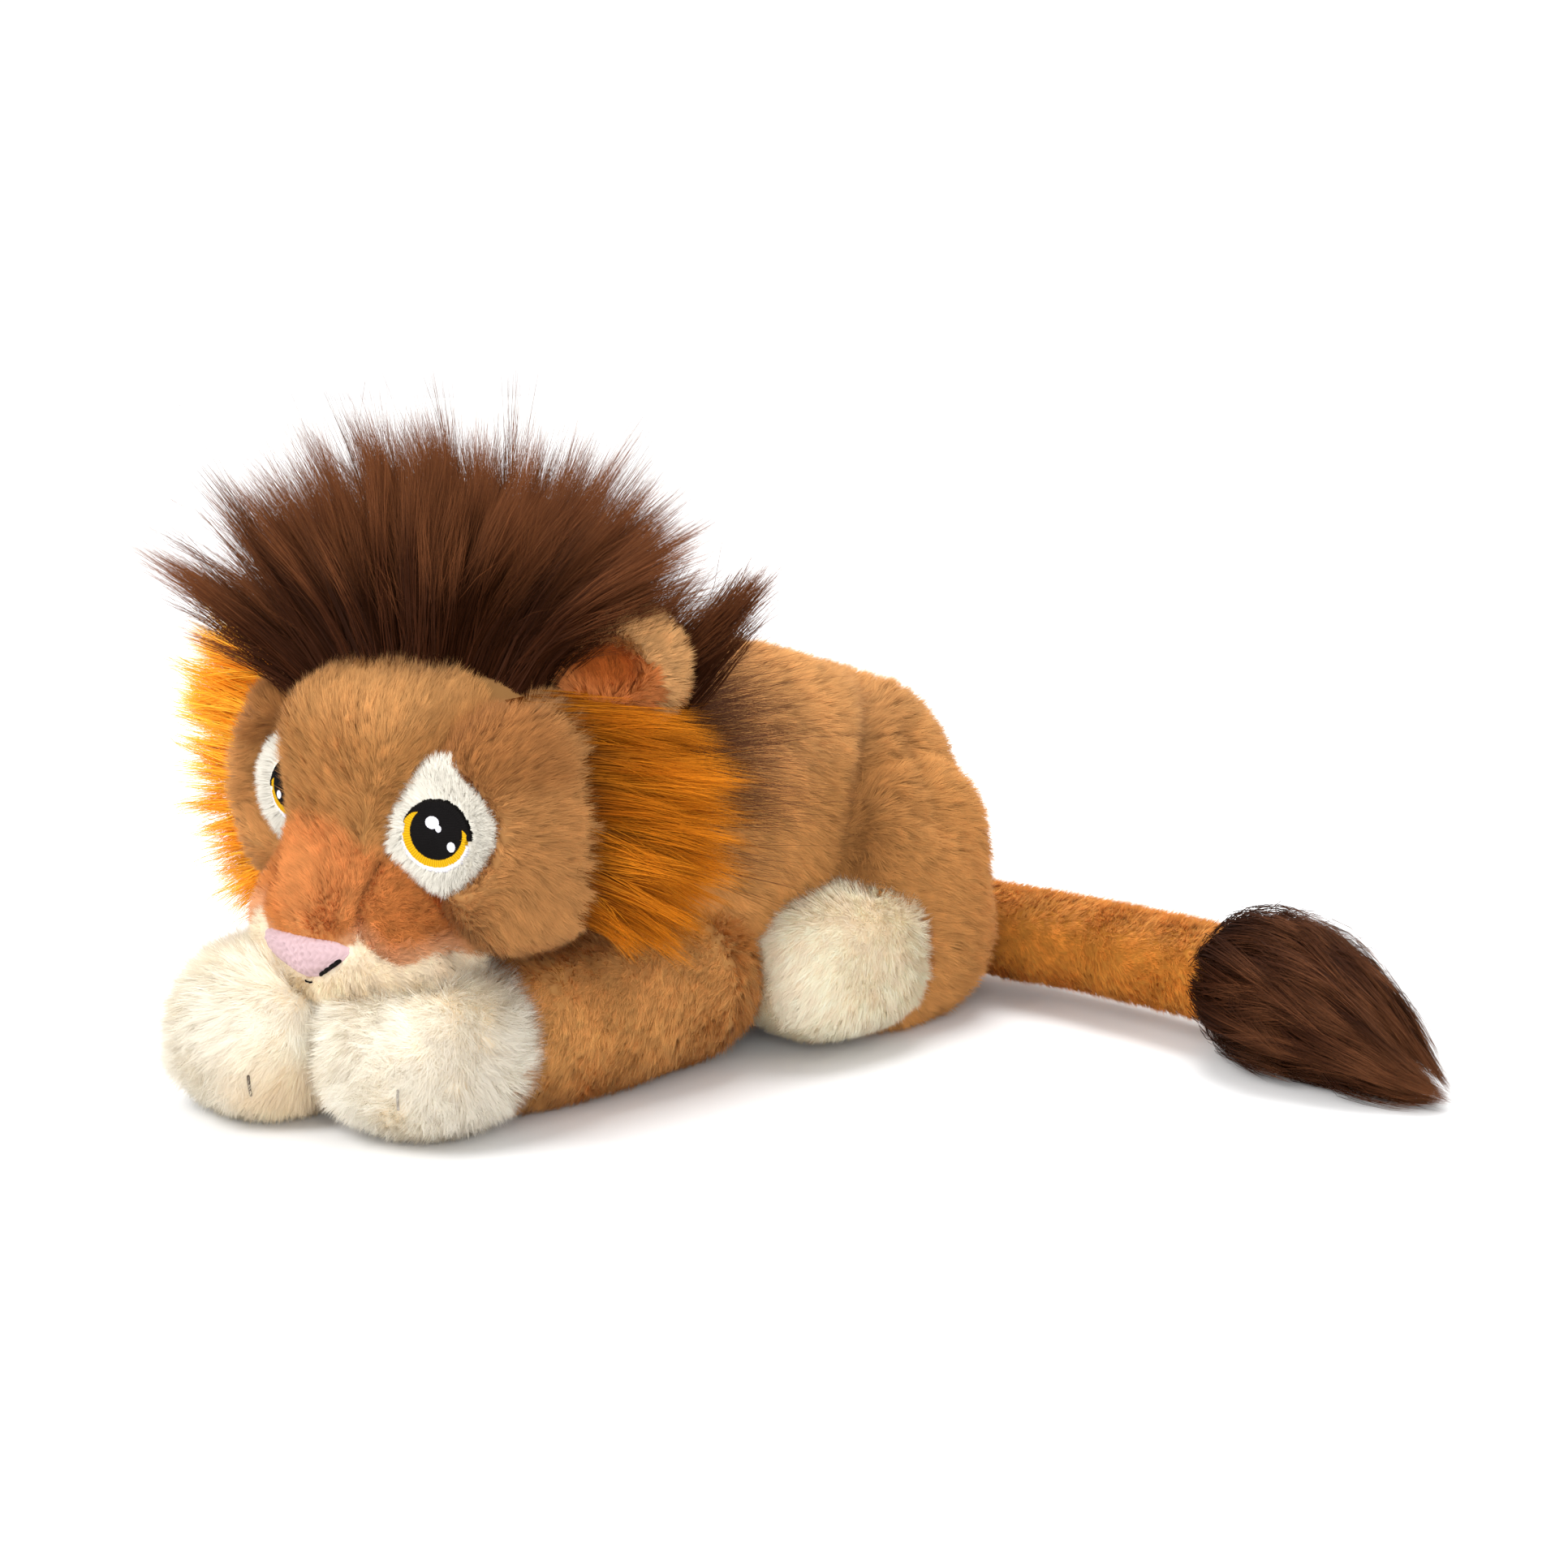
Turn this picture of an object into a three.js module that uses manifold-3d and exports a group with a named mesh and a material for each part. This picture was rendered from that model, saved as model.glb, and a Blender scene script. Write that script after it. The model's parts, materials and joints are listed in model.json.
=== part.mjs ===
// Lying plush lion: sewn short-pile panels over stuffing cores, long-pile mane, ruffs and tail tuft.
// Millimetres. +Z up, the lion looks along -Y, +X is its left side. The floor is Z = 0.
import * as THREE from 'three';
import { mergeVertices } from 'three/addons/utils/BufferGeometryUtils.js';
import Module from 'manifold-3d';

// ---------------------------------------------------------------- driving dimensions
const GAP = 0.3;            // clearance kept between touching pieces
const SKIN = 2.6;           // fabric backing plus the pressed lower part of the pile
const CORE_GAP = 0.4;       // stuffing core to fabric
const REST_Z = 0;           // the belly, paws and feet lie flat on the floor

// torso
const CHEST = { c: [0, -2, 73], s: [46, 53, 57], p: 2.3 };
const REAR = { c: [0, 53, 62], s: [45, 58, 57], p: 2.3 };
const BELLY = { c: [0, 30, 37], s: [40, 68, 46], p: 2.3 }; // reaches below the floor, so it is pressed flat there
const HAUNCH = { c: [39, 57, 51], s: [17, 46, 47], p: 2.3, plane: 31 };

// neck ball: both head axes pass through its centre
const NECK = { c: [0, -58, 84], r: 30, play: 1.9 };

// head
const HEAD = { c: [0, -104, 94], s: [65, 53, 51], p: 2.8, bottom: 51.6, back: -61 };
const MUZZLE = { c: [0, -141, 66], s: [41, 26, 25], p: 2.3 };
const CHIN_TOP = 61, CHIN_BACK = -122, GUSSET_HALF = 17;
const NOSE = { c: [0, -166.8, 62.5], s: [16.5, 5.4, 7.2] };
const EYE = { x: 41, z: 102, r: 11.2, aim: 24 };
const EAR = { c: [49, -69, 149.5], r: 21, thick: 9, yaw: 24, baseZ: 134 };

// forelegs: [elbow/shoulder, paw] centres, the right one is stretched further forward
const LEG_Z = 24.6, LEG_R = 24.6;
const SHOULDER = [30, -29];
const PAW_L = [26, -138], PAW_R = [-31, -161];
const PAW_S = [27.6, 30, 25.2];

// hind feet
const HEEL = [36, 62], FOOT = [37, 31];
const FOOT_S = [23.6, 30, 25];

// tail
const TAIL_Z = 20.5, TAIL_R = 14.2;
const TAIL_PTS = [[0, 108], [34, 113], [80, 117], [140, 116]];
const TUFT_TIP = [232, 112];

// ---------------------------------------------------------------- solids
const wasm = await Module(); wasm.setup();

function solid(geometry) {
  const g = geometry.clone();
  g.deleteAttribute('normal'); g.deleteAttribute('uv');
  const m = mergeVertices(g, 1e-4);
  const mesh = new wasm.Mesh({
    numProp: 3,
    vertProperties: new Float32Array(m.attributes.position.array),
    triVerts: new Uint32Array(m.index.array),
  });
  return new wasm.Manifold(mesh);
}

function toGeometry(man) {
  const m = man.getMesh();
  const n = m.numProp, count = m.vertProperties.length / n;
  const pos = new Float32Array(count * 3);
  for (let i = 0; i < count; i++) for (let k = 0; k < 3; k++) pos[i * 3 + k] = m.vertProperties[i * n + k];
  const g = new THREE.BufferGeometry();
  g.setAttribute('position', new THREE.BufferAttribute(pos, 3));
  g.setIndex(Array.from(m.triVerts));
  return g;
}

// rounded form: a sphere whose points are pushed out to a superellipsoid, flattened where it rests
function blob(c, s, p = 2.3, nu = 12, nv = 8, low = -1e9, frame = null) {
  const g = new THREE.SphereGeometry(1, nu, nv);
  g.rotateX(Math.PI / 2);
  const a = g.attributes.position, v = new THREE.Vector3();
  for (let i = 0; i < a.count; i++) {
    v.fromBufferAttribute(a, i).normalize();
    const r = Math.pow(Math.abs(v.x) ** p + Math.abs(v.y) ** p + Math.abs(v.z) ** p, -1 / p);
    v.multiplyScalar(r).multiply(new THREE.Vector3(...s));
    if (frame) v.applyEuler(frame);
    v.add(new THREE.Vector3(...c));
    if (v.z < low) v.z = low;
    a.setXYZ(i, v.x, v.y, v.z);
  }
  return solid(g);
}

// limb: rings along a path with rounded ends; each station is [x, y, z, half width, half height]
function limb(st, { nu = 10, nc = 2, low = -1e9, cap0 = 1, cap1 = 1 } = {}) {
  const rows = [];
  const P = st.map((q) => new THREE.Vector3(q[0], q[1], q[2]));
  const up = new THREE.Vector3(0, 0, 1);
  const tangent = (i) => {
    const a = P[Math.max(0, i - 1)], b = P[Math.min(P.length - 1, i + 1)];
    return b.clone().sub(a).normalize();
  };
  const n = st.length;
  for (let k = 0; k < nc; k++) { const al = (k / nc) * Math.PI / 2; rows.push([0, -Math.cos(al) * cap0, Math.sin(al)]); }
  for (let i = 0; i < n; i++) rows.push([i, 0, 1]);
  for (let k = nc - 1; k >= 0; k--) { const al = (k / nc) * Math.PI / 2; rows.push([n - 1, Math.cos(al) * cap1, Math.sin(al)]); }
  const g = new THREE.SphereGeometry(1, nu, rows.length - 1);
  const a = g.attributes.position;
  rows.forEach(([i, along, scale], r) => {
    const T = tangent(i), B = up.clone().cross(T).normalize(), N = T.clone().cross(B);
    const ra = st[i][3], rb = st[i][4];
    const C = P[i].clone().addScaledVector(T, along * (ra + rb) / 2);
    for (let j = 0; j <= nu; j++) {
      const ph = (j % nu) / nu * Math.PI * 2;
      const v = C.clone().addScaledVector(B, -Math.cos(ph) * ra * scale).addScaledVector(N, Math.sin(ph) * rb * scale);
      if (v.z < low) v.z = low;
      a.setXYZ(r * (nu + 1) + j, v.x, v.y, v.z);
    }
  });
  return solid(g);
}

function ball(c, r, nu = 16, nv = 10) {
  const g = new THREE.SphereGeometry(r, nu, nv);
  g.rotateX(Math.PI / 2); g.translate(...c);
  return solid(g);
}
function box(lo, hi) {
  const g = new THREE.BoxGeometry(hi[0] - lo[0], hi[1] - lo[1], hi[2] - lo[2]);
  g.translate((lo[0] + hi[0]) / 2, (lo[1] + hi[1]) / 2, (lo[2] + hi[2]) / 2);
  return solid(g);
}
const BIG = 600;
const half = {
  xp: (x) => box([x, -BIG, -BIG], [BIG, BIG, BIG]), xm: (x) => box([-BIG, -BIG, -BIG], [x, BIG, BIG]),
  yp: (y) => box([-BIG, y, -BIG], [BIG, BIG, BIG]), ym: (y) => box([-BIG, -BIG, -BIG], [BIG, y, BIG]),
  zp: (z) => box([-BIG, -BIG, z], [BIG, BIG, BIG]), zm: (z) => box([-BIG, -BIG, -BIG], [BIG, BIG, z]),
};
const grow = (s, d) => s.map((v) => v + d);
function lock(root, tip, r, n = 4) { // one pointed lock of long pile
  const a = new THREE.Vector3(...root), b = new THREE.Vector3(...tip);
  const L = a.distanceTo(b);
  const g = new THREE.CylinderGeometry(r * 0.12, r, L, n, 1);
  g.translate(0, L / 2, 0);
  g.applyQuaternion(new THREE.Quaternion().setFromUnitVectors(new THREE.Vector3(0, 1, 0), b.clone().sub(a).normalize()));
  g.translate(...root);
  return solid(g);
}
// one closed piece: the largest body of a cut, cleaned of slivers
function main(man) {
  const parts = man.decompose();
  parts.sort((p, q) => Math.abs(q.volume()) - Math.abs(p.volume()));
  return parts[0];
}

// ---------------------------------------------------------------- forelegs
function foreleg(side, d) {
  const s = side > 0 ? 1 : -1;
  const paw = side > 0 ? PAW_L : PAW_R;
  const sh = [SHOULDER[0] * s, SHOULDER[1]];
  const low = REST_Z + d;
  const root = blob([sh[0], sh[1], LEG_Z], [LEG_R - d, LEG_R - d, 25 - d], 2.5, 10, 5, low);
  const tube = limb([
    [sh[0], sh[1] - 4, LEG_Z, LEG_R - 1 - d, LEG_R - d],
    [(sh[0] + paw[0]) / 2, (sh[1] + paw[1]) / 2, LEG_Z - 0.6, 22.5 - d, 23.4 - d],
    [paw[0], paw[1] + 12, LEG_Z, 22.5 - d, 23.4 - d],
  ], { nu: 8, nc: 1, low, cap0: 0.3, cap1: 0.3 });
  const toe = blob([paw[0], paw[1], 24.8], grow(PAW_S, -d), 2.4, 10, 6, low);
  return root.add(tube).add(toe);
}
// ---------------------------------------------------------------- hind feet
function hindfoot(side, d) {
  const s = side > 0 ? 1 : -1;
  const low = REST_Z + d;
  const root = blob([HEEL[0] * s, HEEL[1], 22.5], [19 - d, 19 - d, 22.9 - d], 2.4, 10, 5, low);
  const pad = blob([FOOT[0] * s, FOOT[1], 24.6], grow(FOOT_S, -d), 2.5, 10, 6, low);
  return root.add(pad);
}
// ---------------------------------------------------------------- tail
const tailStations = (i, j, d) => TAIL_PTS.slice(i, j + 1).map((q) => [q[0], q[1], TAIL_Z, TAIL_R - d, TAIL_R - d]);
function tail1(d) {
  const end = TAIL_PTS[2];
  return limb(tailStations(0, 2, d), { nu: 10, nc: 2, cap1: 0.05 })
    .subtract(ball([end[0], end[1], TAIL_Z], TAIL_R + 0.9 + d, 10, 6));
}
function tail2(d) {
  const a = TAIL_PTS[2], b = TAIL_PTS[3];
  const mid = [(a[0] + b[0]) / 2, (a[1] + b[1]) / 2 + 0.3, TAIL_Z, TAIL_R - d, TAIL_R - d];
  return limb([tailStations(2, 2, d)[0], mid, tailStations(3, 3, d)[0]], { nu: 10, nc: 2, cap1: 0.05 })
    .subtract(ball([b[0], b[1], TAIL_Z], TAIL_R + 0.9 + d, 10, 6));
}
function tuft(d) {
  const a = TAIL_PTS[3];
  return limb([
    [a[0], a[1], TAIL_Z, TAIL_R - d, TAIL_R - d],
    [a[0] + 12, a[1] - 2.5, TAIL_Z + 2.5, 20.5 - d, 20 - d],
    [a[0] + 30, a[1] - 6.5, TAIL_Z + 4.5, 27 - d, 25 - d],
    [a[0] + 50, a[1] - 8, TAIL_Z + 1, 23 - d, 21.5 - d],
    [a[0] + 72, a[1] - 6, TAIL_Z - 7.5, 12 - d, 12 - d],
    [TUFT_TIP[0], TUFT_TIP[1], TAIL_Z - 15, 2.2, 3],
  ], { nu: 10, nc: 2, low: REST_Z + 0.4 + d, cap1: 0.6 });
}

// ---------------------------------------------------------------- torso
// plain pockets: the forelegs, the hind feet and the tail each swing in their own room under the body
const POCKETS = [
  [[-80, -90, -10], [80, SHOULDER[1] + LEG_R + 0.8, 50.7]],
  [[13, -90, -10], [80, HEEL[1] + 19.8, 50.7]],
  [[-80, -90, -10], [-13, HEEL[1] + 19.8, 50.7]],
  [[-80, TAIL_PTS[0][1] - TAIL_R - 0.6, -10], [80, 160, TAIL_Z + TAIL_R + 0.8]],
];
function pocketed(t, d) {
  for (const [lo, hi] of POCKETS) t = t.subtract(box(lo.map((v) => v - d), hi.map((v) => v + d)));
  return t;
}
function torso(d) {
  const low = REST_Z + d;
  let t = blob(CHEST.c, grow(CHEST.s, -d), CHEST.p, 14, 8)
    .add(blob(REAR.c, grow(REAR.s, -d), REAR.p, 14, 8))
    .add(blob(BELLY.c, grow(BELLY.s, -d), BELLY.p, 10, 6, low));
  t = pocketed(t.intersect(half.zp(low)), d);
  t = t.subtract(ball(NECK.c, NECK.r + NECK.play + d, 14, 8));
  for (const s of [1, -1]) {
    const hc = [HAUNCH.c[0] * s, HAUNCH.c[1], HAUNCH.c[2]];
    const keep = s > 0 ? half.xp(HAUNCH.plane - d - GAP) : half.xm(-HAUNCH.plane + d + GAP);
    t = t.subtract(blob(hc, grow(HAUNCH.s, GAP + d), HAUNCH.p, 10, 6).intersect(keep));
  }
  return t;
}
function haunch(side, d) {
  const hc = [HAUNCH.c[0] * side, HAUNCH.c[1], HAUNCH.c[2]];
  const keep = side > 0 ? half.xp(HAUNCH.plane + d) : half.xm(-HAUNCH.plane - d);
  return pocketed(blob(hc, grow(HAUNCH.s, -d), HAUNCH.p, 10, 6, REST_Z + d).intersect(keep), d);
}

// ---------------------------------------------------------------- head
function headForm(d) { // d > 0 shrinks, d < 0 grows
  return blob(HEAD.c, grow(HEAD.s, -d), HEAD.p, 16, 10, HEAD.bottom + d)
    .add(blob(MUZZLE.c, grow(MUZZLE.s, -d), MUZZLE.p, 10, 6, HEAD.bottom + d));
}
function head(d) {
  return headForm(d).intersect(half.ym(HEAD.back - d)).subtract(ball(NECK.c, NECK.r + NECK.play + d, 14, 8));
}
const chinBox = (e) => box([-BIG, -BIG, -BIG], [BIG, CHIN_BACK + e, CHIN_TOP + e]);

// eye patch and embroidery follow the head's own curve: a slice of shell inside an outline
function eyeOutline(scale) { // teardrop with its point towards the ear side, drawn in the face plane
  const s = new THREE.Shape();
  const k = scale;
  s.moveTo(2 * k, -17 * k);
  s.bezierCurveTo(13 * k, -15 * k, 17 * k, -4 * k, 13 * k, 7 * k);
  s.bezierCurveTo(10 * k, 16 * k, 5 * k, 22 * k, -2 * k, 24 * k);
  s.bezierCurveTo(-9 * k, 20 * k, -14 * k, 10 * k, -14 * k, -1 * k);
  s.bezierCurveTo(-13 * k, -11 * k, -8 * k, -17 * k, 2 * k, -17 * k);
  return s;
}
function eyeTool(side, shape, depth = 60) {
  const g = new THREE.ExtrudeGeometry(shape, { depth, bevelEnabled: false, curveSegments: 4 });
  g.translate(0, 0, -depth / 2);
  if (side < 0) g.applyMatrix4(new THREE.Matrix4().makeScale(-1, 1, 1));
  // face plane: X stays, Y goes up, the extrusion runs along the line of sight
  g.rotateX(Math.PI / 2);
  g.rotateZ(THREE.MathUtils.degToRad(EYE.aim * side));
  g.translate(EYE.x * side, -148, EYE.z);
  if (side < 0) { // mirrored outline: turn the triangles over
    const idx = g.index ? g.index.array : Array.from({ length: g.attributes.position.count }, (_, i) => i);
    const flipped = [];
    for (let i = 0; i < idx.length; i += 3) flipped.push(idx[i], idx[i + 2], idx[i + 1]);
    g.setIndex(flipped);
  }
  return solid(g);
}
const circle = (r) => { const s = new THREE.Shape(); s.absellipse(0, 0, r, r * 1.04, 0, Math.PI * 2); return s; };
function shellSlice(inner, outer, tool) { return main(headForm(-outer).subtract(headForm(-inner)).intersect(tool)); }

// ---------------------------------------------------------------- long-pile pieces
const MANE_LOCKS = [ // root, tip, root radius
  [[0, -128, 139], [4, -160, 212], 15], [[22, -126, 137], [34, -152, 210], 14], [[-22, -126, 137], [-36, -160, 208], 14],
  [[38, -116, 134], [66, -128, 196], 13], [[-38, -116, 134], [-72, -138, 196], 13],
  [[46, -104, 128], [88, -96, 176], 12], [[-46, -104, 128], [-92, -112, 178], 12],
  [[0, -108, 142], [2, -118, 222], 16], [[24, -106, 141], [38, -112, 219], 14], [[-24, -106, 141], [-40, -116, 219], 14],
  [[0, -90, 141], [0, -80, 219], 15], [[20, -88, 139], [32, -74, 214], 13], [[-20, -88, 139], [-32, -74, 214], 13],
  [[0, -74, 136], [0, -46, 196], 14], [[18, -74, 134], [26, -44, 190], 11], [[-18, -74, 134], [-26, -44, 190], 11],
];
const NAPE_LOCKS = [
  [[0, -66, 122], [0, -26, 152], 13], [[18, -66, 120], [26, -22, 148], 12], [[-18, -66, 120], [-26, -22, 148], 12],
  [[33, -68, 112], [50, -26, 138], 11], [[-33, -68, 112], [-50, -26, 138], 11],
];
const RUFF_LOCKS = [ // left side, combed outward and back
  [[52, -84, 122], [78, -66, 122], 10], [[56, -86, 110], [84, -62, 108], 10], [[58, -88, 97], [88, -60, 94], 10],
  [[58, -88, 84], [87, -62, 80], 10], [[55, -88, 72], [82, -64, 68], 9], [[48, -88, 63], [72, -64, 60], 8],
  [[50, -74, 116], [70, -46, 116], 9], [[54, -74, 102], [74, -42, 100], 9], [[54, -74, 88], [74, -42, 86], 9], [[50, -74, 74], [68, -44, 72], 8],
];
const RUFF_LOCKS_R = [ // right side, drawn at +X and mirrored: its pile stands out sideways
  [[54, -90, 122], [92, -98, 120], 10], [[58, -92, 110], [100, -104, 107], 10], [[60, -94, 97], [103, -106, 93], 10],
  [[60, -94, 84], [100, -104, 79], 10], [[57, -92, 72], [94, -100, 67], 9], [[50, -90, 63], [82, -94, 60], 8],
  [[50, -76, 116], [78, -66, 116], 9], [[54, -76, 102], [84, -68, 100], 9], [[54, -76, 88], [84, -68, 86], 9], [[50, -76, 74], [76, -68, 72], 8],
];
function earSolid(side, extra, thick = extra) {
  const e = new THREE.Euler(0, 0, THREE.MathUtils.degToRad(EAR.yaw * side));
  return blob([EAR.c[0] * side, EAR.c[1], EAR.c[2]], [EAR.r + extra, EAR.thick + thick, EAR.r * 0.9 + extra], 2.2, 10, 6, -1e9, e);
}
const earRoom = (side) => earSolid(side, 1.6, 10.5); // the space in which the ear flaps
const over = GAP + 0.15;
function maneSolid() {
  let m = headForm(-3.6).intersect(box([-47, -131, 128], [47, -64, 150]));
  for (const [a, b, r] of MANE_LOCKS) m = m.add(lock(a, b, r));
  return main(m.subtract(headForm(-over)).subtract(earRoom(1)).subtract(earRoom(-1)).intersect(half.zp(122)));
}
function napeSolid() {
  let m = box([-36, -HEAD.back * -1 + 0.5, 104], [36, HEAD.back + 4, 126]);
  for (const [a, b, r] of NAPE_LOCKS) m = m.add(lock(a, b, r));
  return main(m.subtract(headForm(-over).intersect(half.ym(HEAD.back + over)))
    .subtract(ball(NECK.c, NECK.r + 1.6, 14, 8)).subtract(earRoom(1)).subtract(earRoom(-1)).subtract(maneSolid().translate([0, 0.5, -0.5])).subtract(maneSolid()));
}
function ruffSolid(side) {
  let m = headForm(-3.2).intersect(box([40, -96, 55], [80, -62, 128]));
  for (const [a, b, r] of side > 0 ? RUFF_LOCKS : RUFF_LOCKS_R) m = m.add(lock(a, b, r));
  if (side < 0) m = m.mirror([1, 0, 0]);
  m = m.subtract(headForm(-over).intersect(half.ym(HEAD.back + over))).subtract(earRoom(side)).intersect(half.zp(53));
  return main(m.subtract(maneKeepOut).subtract(napeKeepOut));
}

// ---------------------------------------------------------------- scene graph
const lion = new THREE.Group();
lion.name = 'plush_lion';
const MAT = {
  tan: { color: 0xc58e58, roughness: 0.95 }, cream: { color: 0xf3ecdc, roughness: 0.95 }, mane: { color: 0x4a2c1c, roughness: 0.8 },
  ruff: { color: 0xc4741a, roughness: 0.85 }, muzzle: { color: 0xc6764b, roughness: 0.95 }, pink: { color: 0xe4b6ca, roughness: 0.8 },
  white: { color: 0xf4f0e8, roughness: 0.9 }, eye: { color: 0x141212, roughness: 0.5 }, earIn: { color: 0xc8784a, roughness: 0.95 },
  stuffing: { color: 0xfafafa, roughness: 1 }, thread: { color: 0x2a2422, roughness: 0.7 },
};
const put = (name, man, mat, into = lion) => {
  const mesh = new THREE.Mesh(toGeometry(man), new THREE.MeshStandardMaterial({ metalness: 0, ...MAT[mat] }));
  mesh.name = name;
  into.add(mesh);
  return mesh;
};

// torso
{
  const skin = torso(0).subtract(torso(SKIN));
  put('body_panel_left', main(skin.intersect(half.xp(GAP / 2)).intersect(half.zp(22 + GAP / 2))), 'tan');
  put('body_panel_right', main(skin.intersect(half.xm(-GAP / 2)).intersect(half.zp(22 + GAP / 2))), 'tan');
  put('belly_panel', main(skin.intersect(half.zm(22 - GAP / 2))), 'tan');
  put('body_stuffing', main(torso(SKIN + CORE_GAP)), 'stuffing');
  for (const s of [1, -1]) {
    const tag = s > 0 ? 'left' : 'right';
    put(`haunch_panel_${tag}`, main(haunch(s, 0).subtract(haunch(s, SKIN)).subtract(s > 0 ? half.xm(HAUNCH.plane + SKIN) : half.xp(-HAUNCH.plane - SKIN))), 'tan');
    put(`haunch_stuffing_${tag}`, main(haunch(s, SKIN + CORE_GAP)), 'stuffing');
  }
}
// neck
put('neck_stuffing', ball(NECK.c, NECK.r, 14, 8), 'tan');
// head
{
  const skin = head(0).subtract(head(SKIN));
  const g = GAP / 2;
  put('chin_panel', main(skin.intersect(chinBox(-g))), 'cream');
  const rest = skin.subtract(chinBox(g));
  put('forehead_gusset', main(rest.intersect(half.xp(-GUSSET_HALF + g)).intersect(half.xm(GUSSET_HALF - g))), 'tan');
  put('cheek_panel_left', main(rest.intersect(half.xp(GUSSET_HALF + g))), 'tan');
  put('cheek_panel_right', main(rest.intersect(half.xm(-GUSSET_HALF - g))), 'tan');
  put('head_stuffing', main(head(SKIN + CORE_GAP)), 'stuffing');
  put('nose', main(blob(NOSE.c, NOSE.s, 2.6, 10, 6).subtract(headForm(-over))), 'pink');
  for (const s of [1, -1]) {
    const tag = s > 0 ? 'left' : 'right';
    put(`eye_patch_${tag}`, shellSlice(0.35, 1.55, eyeTool(s, eyeOutline(1))), 'white');
    put(`eye_embroidery_${tag}`, shellSlice(1.9, 3.0, eyeTool(s, circle(EYE.r))), 'eye');
  }
}
// long pile on the head
const maneBody = maneSolid();
const maneKeepOut = maneBody.add(maneBody.translate([0.4, 0, 0])).add(maneBody.translate([-0.4, 0, 0])).add(maneBody.translate([0, 0.4, -0.4]));
const napeBody = napeSolid();
const napeKeepOut = napeBody.add(napeBody.translate([0.4, 0, 0])).add(napeBody.translate([-0.4, 0, 0])).add(napeBody.translate([0, -0.4, -0.4]));
put('mane', maneBody, 'mane');
put('nape_mane', napeBody, 'mane');
put('ruff_left', ruffSolid(1), 'ruff');
put('ruff_right', ruffSolid(-1), 'ruff');
// ears: a cupped outer panel with its lining in the hollow
for (const s of [1, -1]) {
  const tag = s > 0 ? 'left' : 'right';
  const e = new THREE.Euler(0, 0, THREE.MathUtils.degToRad(EAR.yaw * s));
  const fwd = new THREE.Vector3(0, -1, 0).applyEuler(e);
  const hollowC = [EAR.c[0] * s + fwd.x * 8.5, EAR.c[1] + fwd.y * 8.5, EAR.c[2] - 0.5];
  const hollow = (x) => blob(hollowC, [EAR.r - 4.5 + x, 8 + x, EAR.r * 0.9 - 4 + x], 2.2, 8, 6, -1e9, e);
  const foot = headForm(-1.7);
  put(`ear_${tag}`, main(earSolid(s, 0).subtract(hollow(0)).subtract(foot)), 'tan');
  const deeper = [EAR.c[0] * s + fwd.x * 11, EAR.c[1] + fwd.y * 11, EAR.c[2] - 0.5];
  put(`ear_lining_${tag}`, main(hollow(-GAP).intersect(earSolid(s, -0.4)).subtract(blob(deeper, [EAR.r - 4.5, 8, EAR.r * 0.9 - 4], 2.2, 8, 6, -1e9, e)).subtract(foot)), 'earIn');
}
// forelegs
for (const s of [1, -1]) {
  const tag = s > 0 ? 'left' : 'right';
  const wrist = (s > 0 ? PAW_L : PAW_R)[1] + 24;
  const skin = foreleg(s, 0).subtract(foreleg(s, SKIN));
  put(`foreleg_sleeve_${tag}`, main(skin.intersect(half.yp(wrist + GAP / 2))), 'tan');
  put(`paw_cap_${tag}`, main(skin.intersect(half.ym(wrist - GAP / 2))), 'cream');
  put(`foreleg_stuffing_${tag}`, main(foreleg(s, SKIN + CORE_GAP)), 'stuffing');
}
// hind feet
for (const s of [1, -1]) {
  const tag = s > 0 ? 'left' : 'right';
  const ankle = 46;
  const skin = hindfoot(s, 0).subtract(hindfoot(s, SKIN));
  put(`hind_sleeve_${tag}`, main(skin.intersect(half.yp(ankle + GAP / 2))), 'tan');
  put(`hind_foot_cap_${tag}`, main(skin.intersect(half.ym(ankle - GAP / 2))), 'cream');
  put(`hind_foot_stuffing_${tag}`, main(hindfoot(s, SKIN + CORE_GAP)), 'stuffing');
}
// tail
put('tail_sleeve_base', main(tail1(0).subtract(tail1(SKIN)).subtract(ball([TAIL_PTS[2][0], TAIL_PTS[2][1], TAIL_Z], TAIL_R + 3.6, 10, 6))), 'tan');
put('tail_stuffing_base', main(tail1(SKIN + CORE_GAP)), 'stuffing');
put('tail_sleeve_end', main(tail2(0).subtract(tail2(SKIN)).subtract(ball([TAIL_PTS[3][0], TAIL_PTS[3][1], TAIL_Z], TAIL_R + 3.6, 10, 6))), 'tan');
put('tail_stuffing_end', main(tail2(SKIN + CORE_GAP)), 'stuffing');
put('tail_tuft', main(tuft(0)), 'mane');

// origin: centre of the base of the whole toy's box
{
  const bounds = new THREE.Box3();
  for (const m of lion.children) { m.geometry.computeBoundingBox(); bounds.union(m.geometry.boundingBox); }
  const c = bounds.getCenter(new THREE.Vector3());
  lion.position.set(-c.x, -c.y, -bounds.min.z);
}

export default lion;
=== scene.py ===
# Looks of the lying plush lion: sewn short-pile panels, long brown mane, orange ruffs,
# embroidered eyes, long tail tuft. Lengths here are millimetres with +Z up, the lion looking
# along -Y and +X its left side; build() turns them into metres in the row frame.
import json
import math

import bpy
import numpy as np
from mathutils import Matrix, Vector


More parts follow.
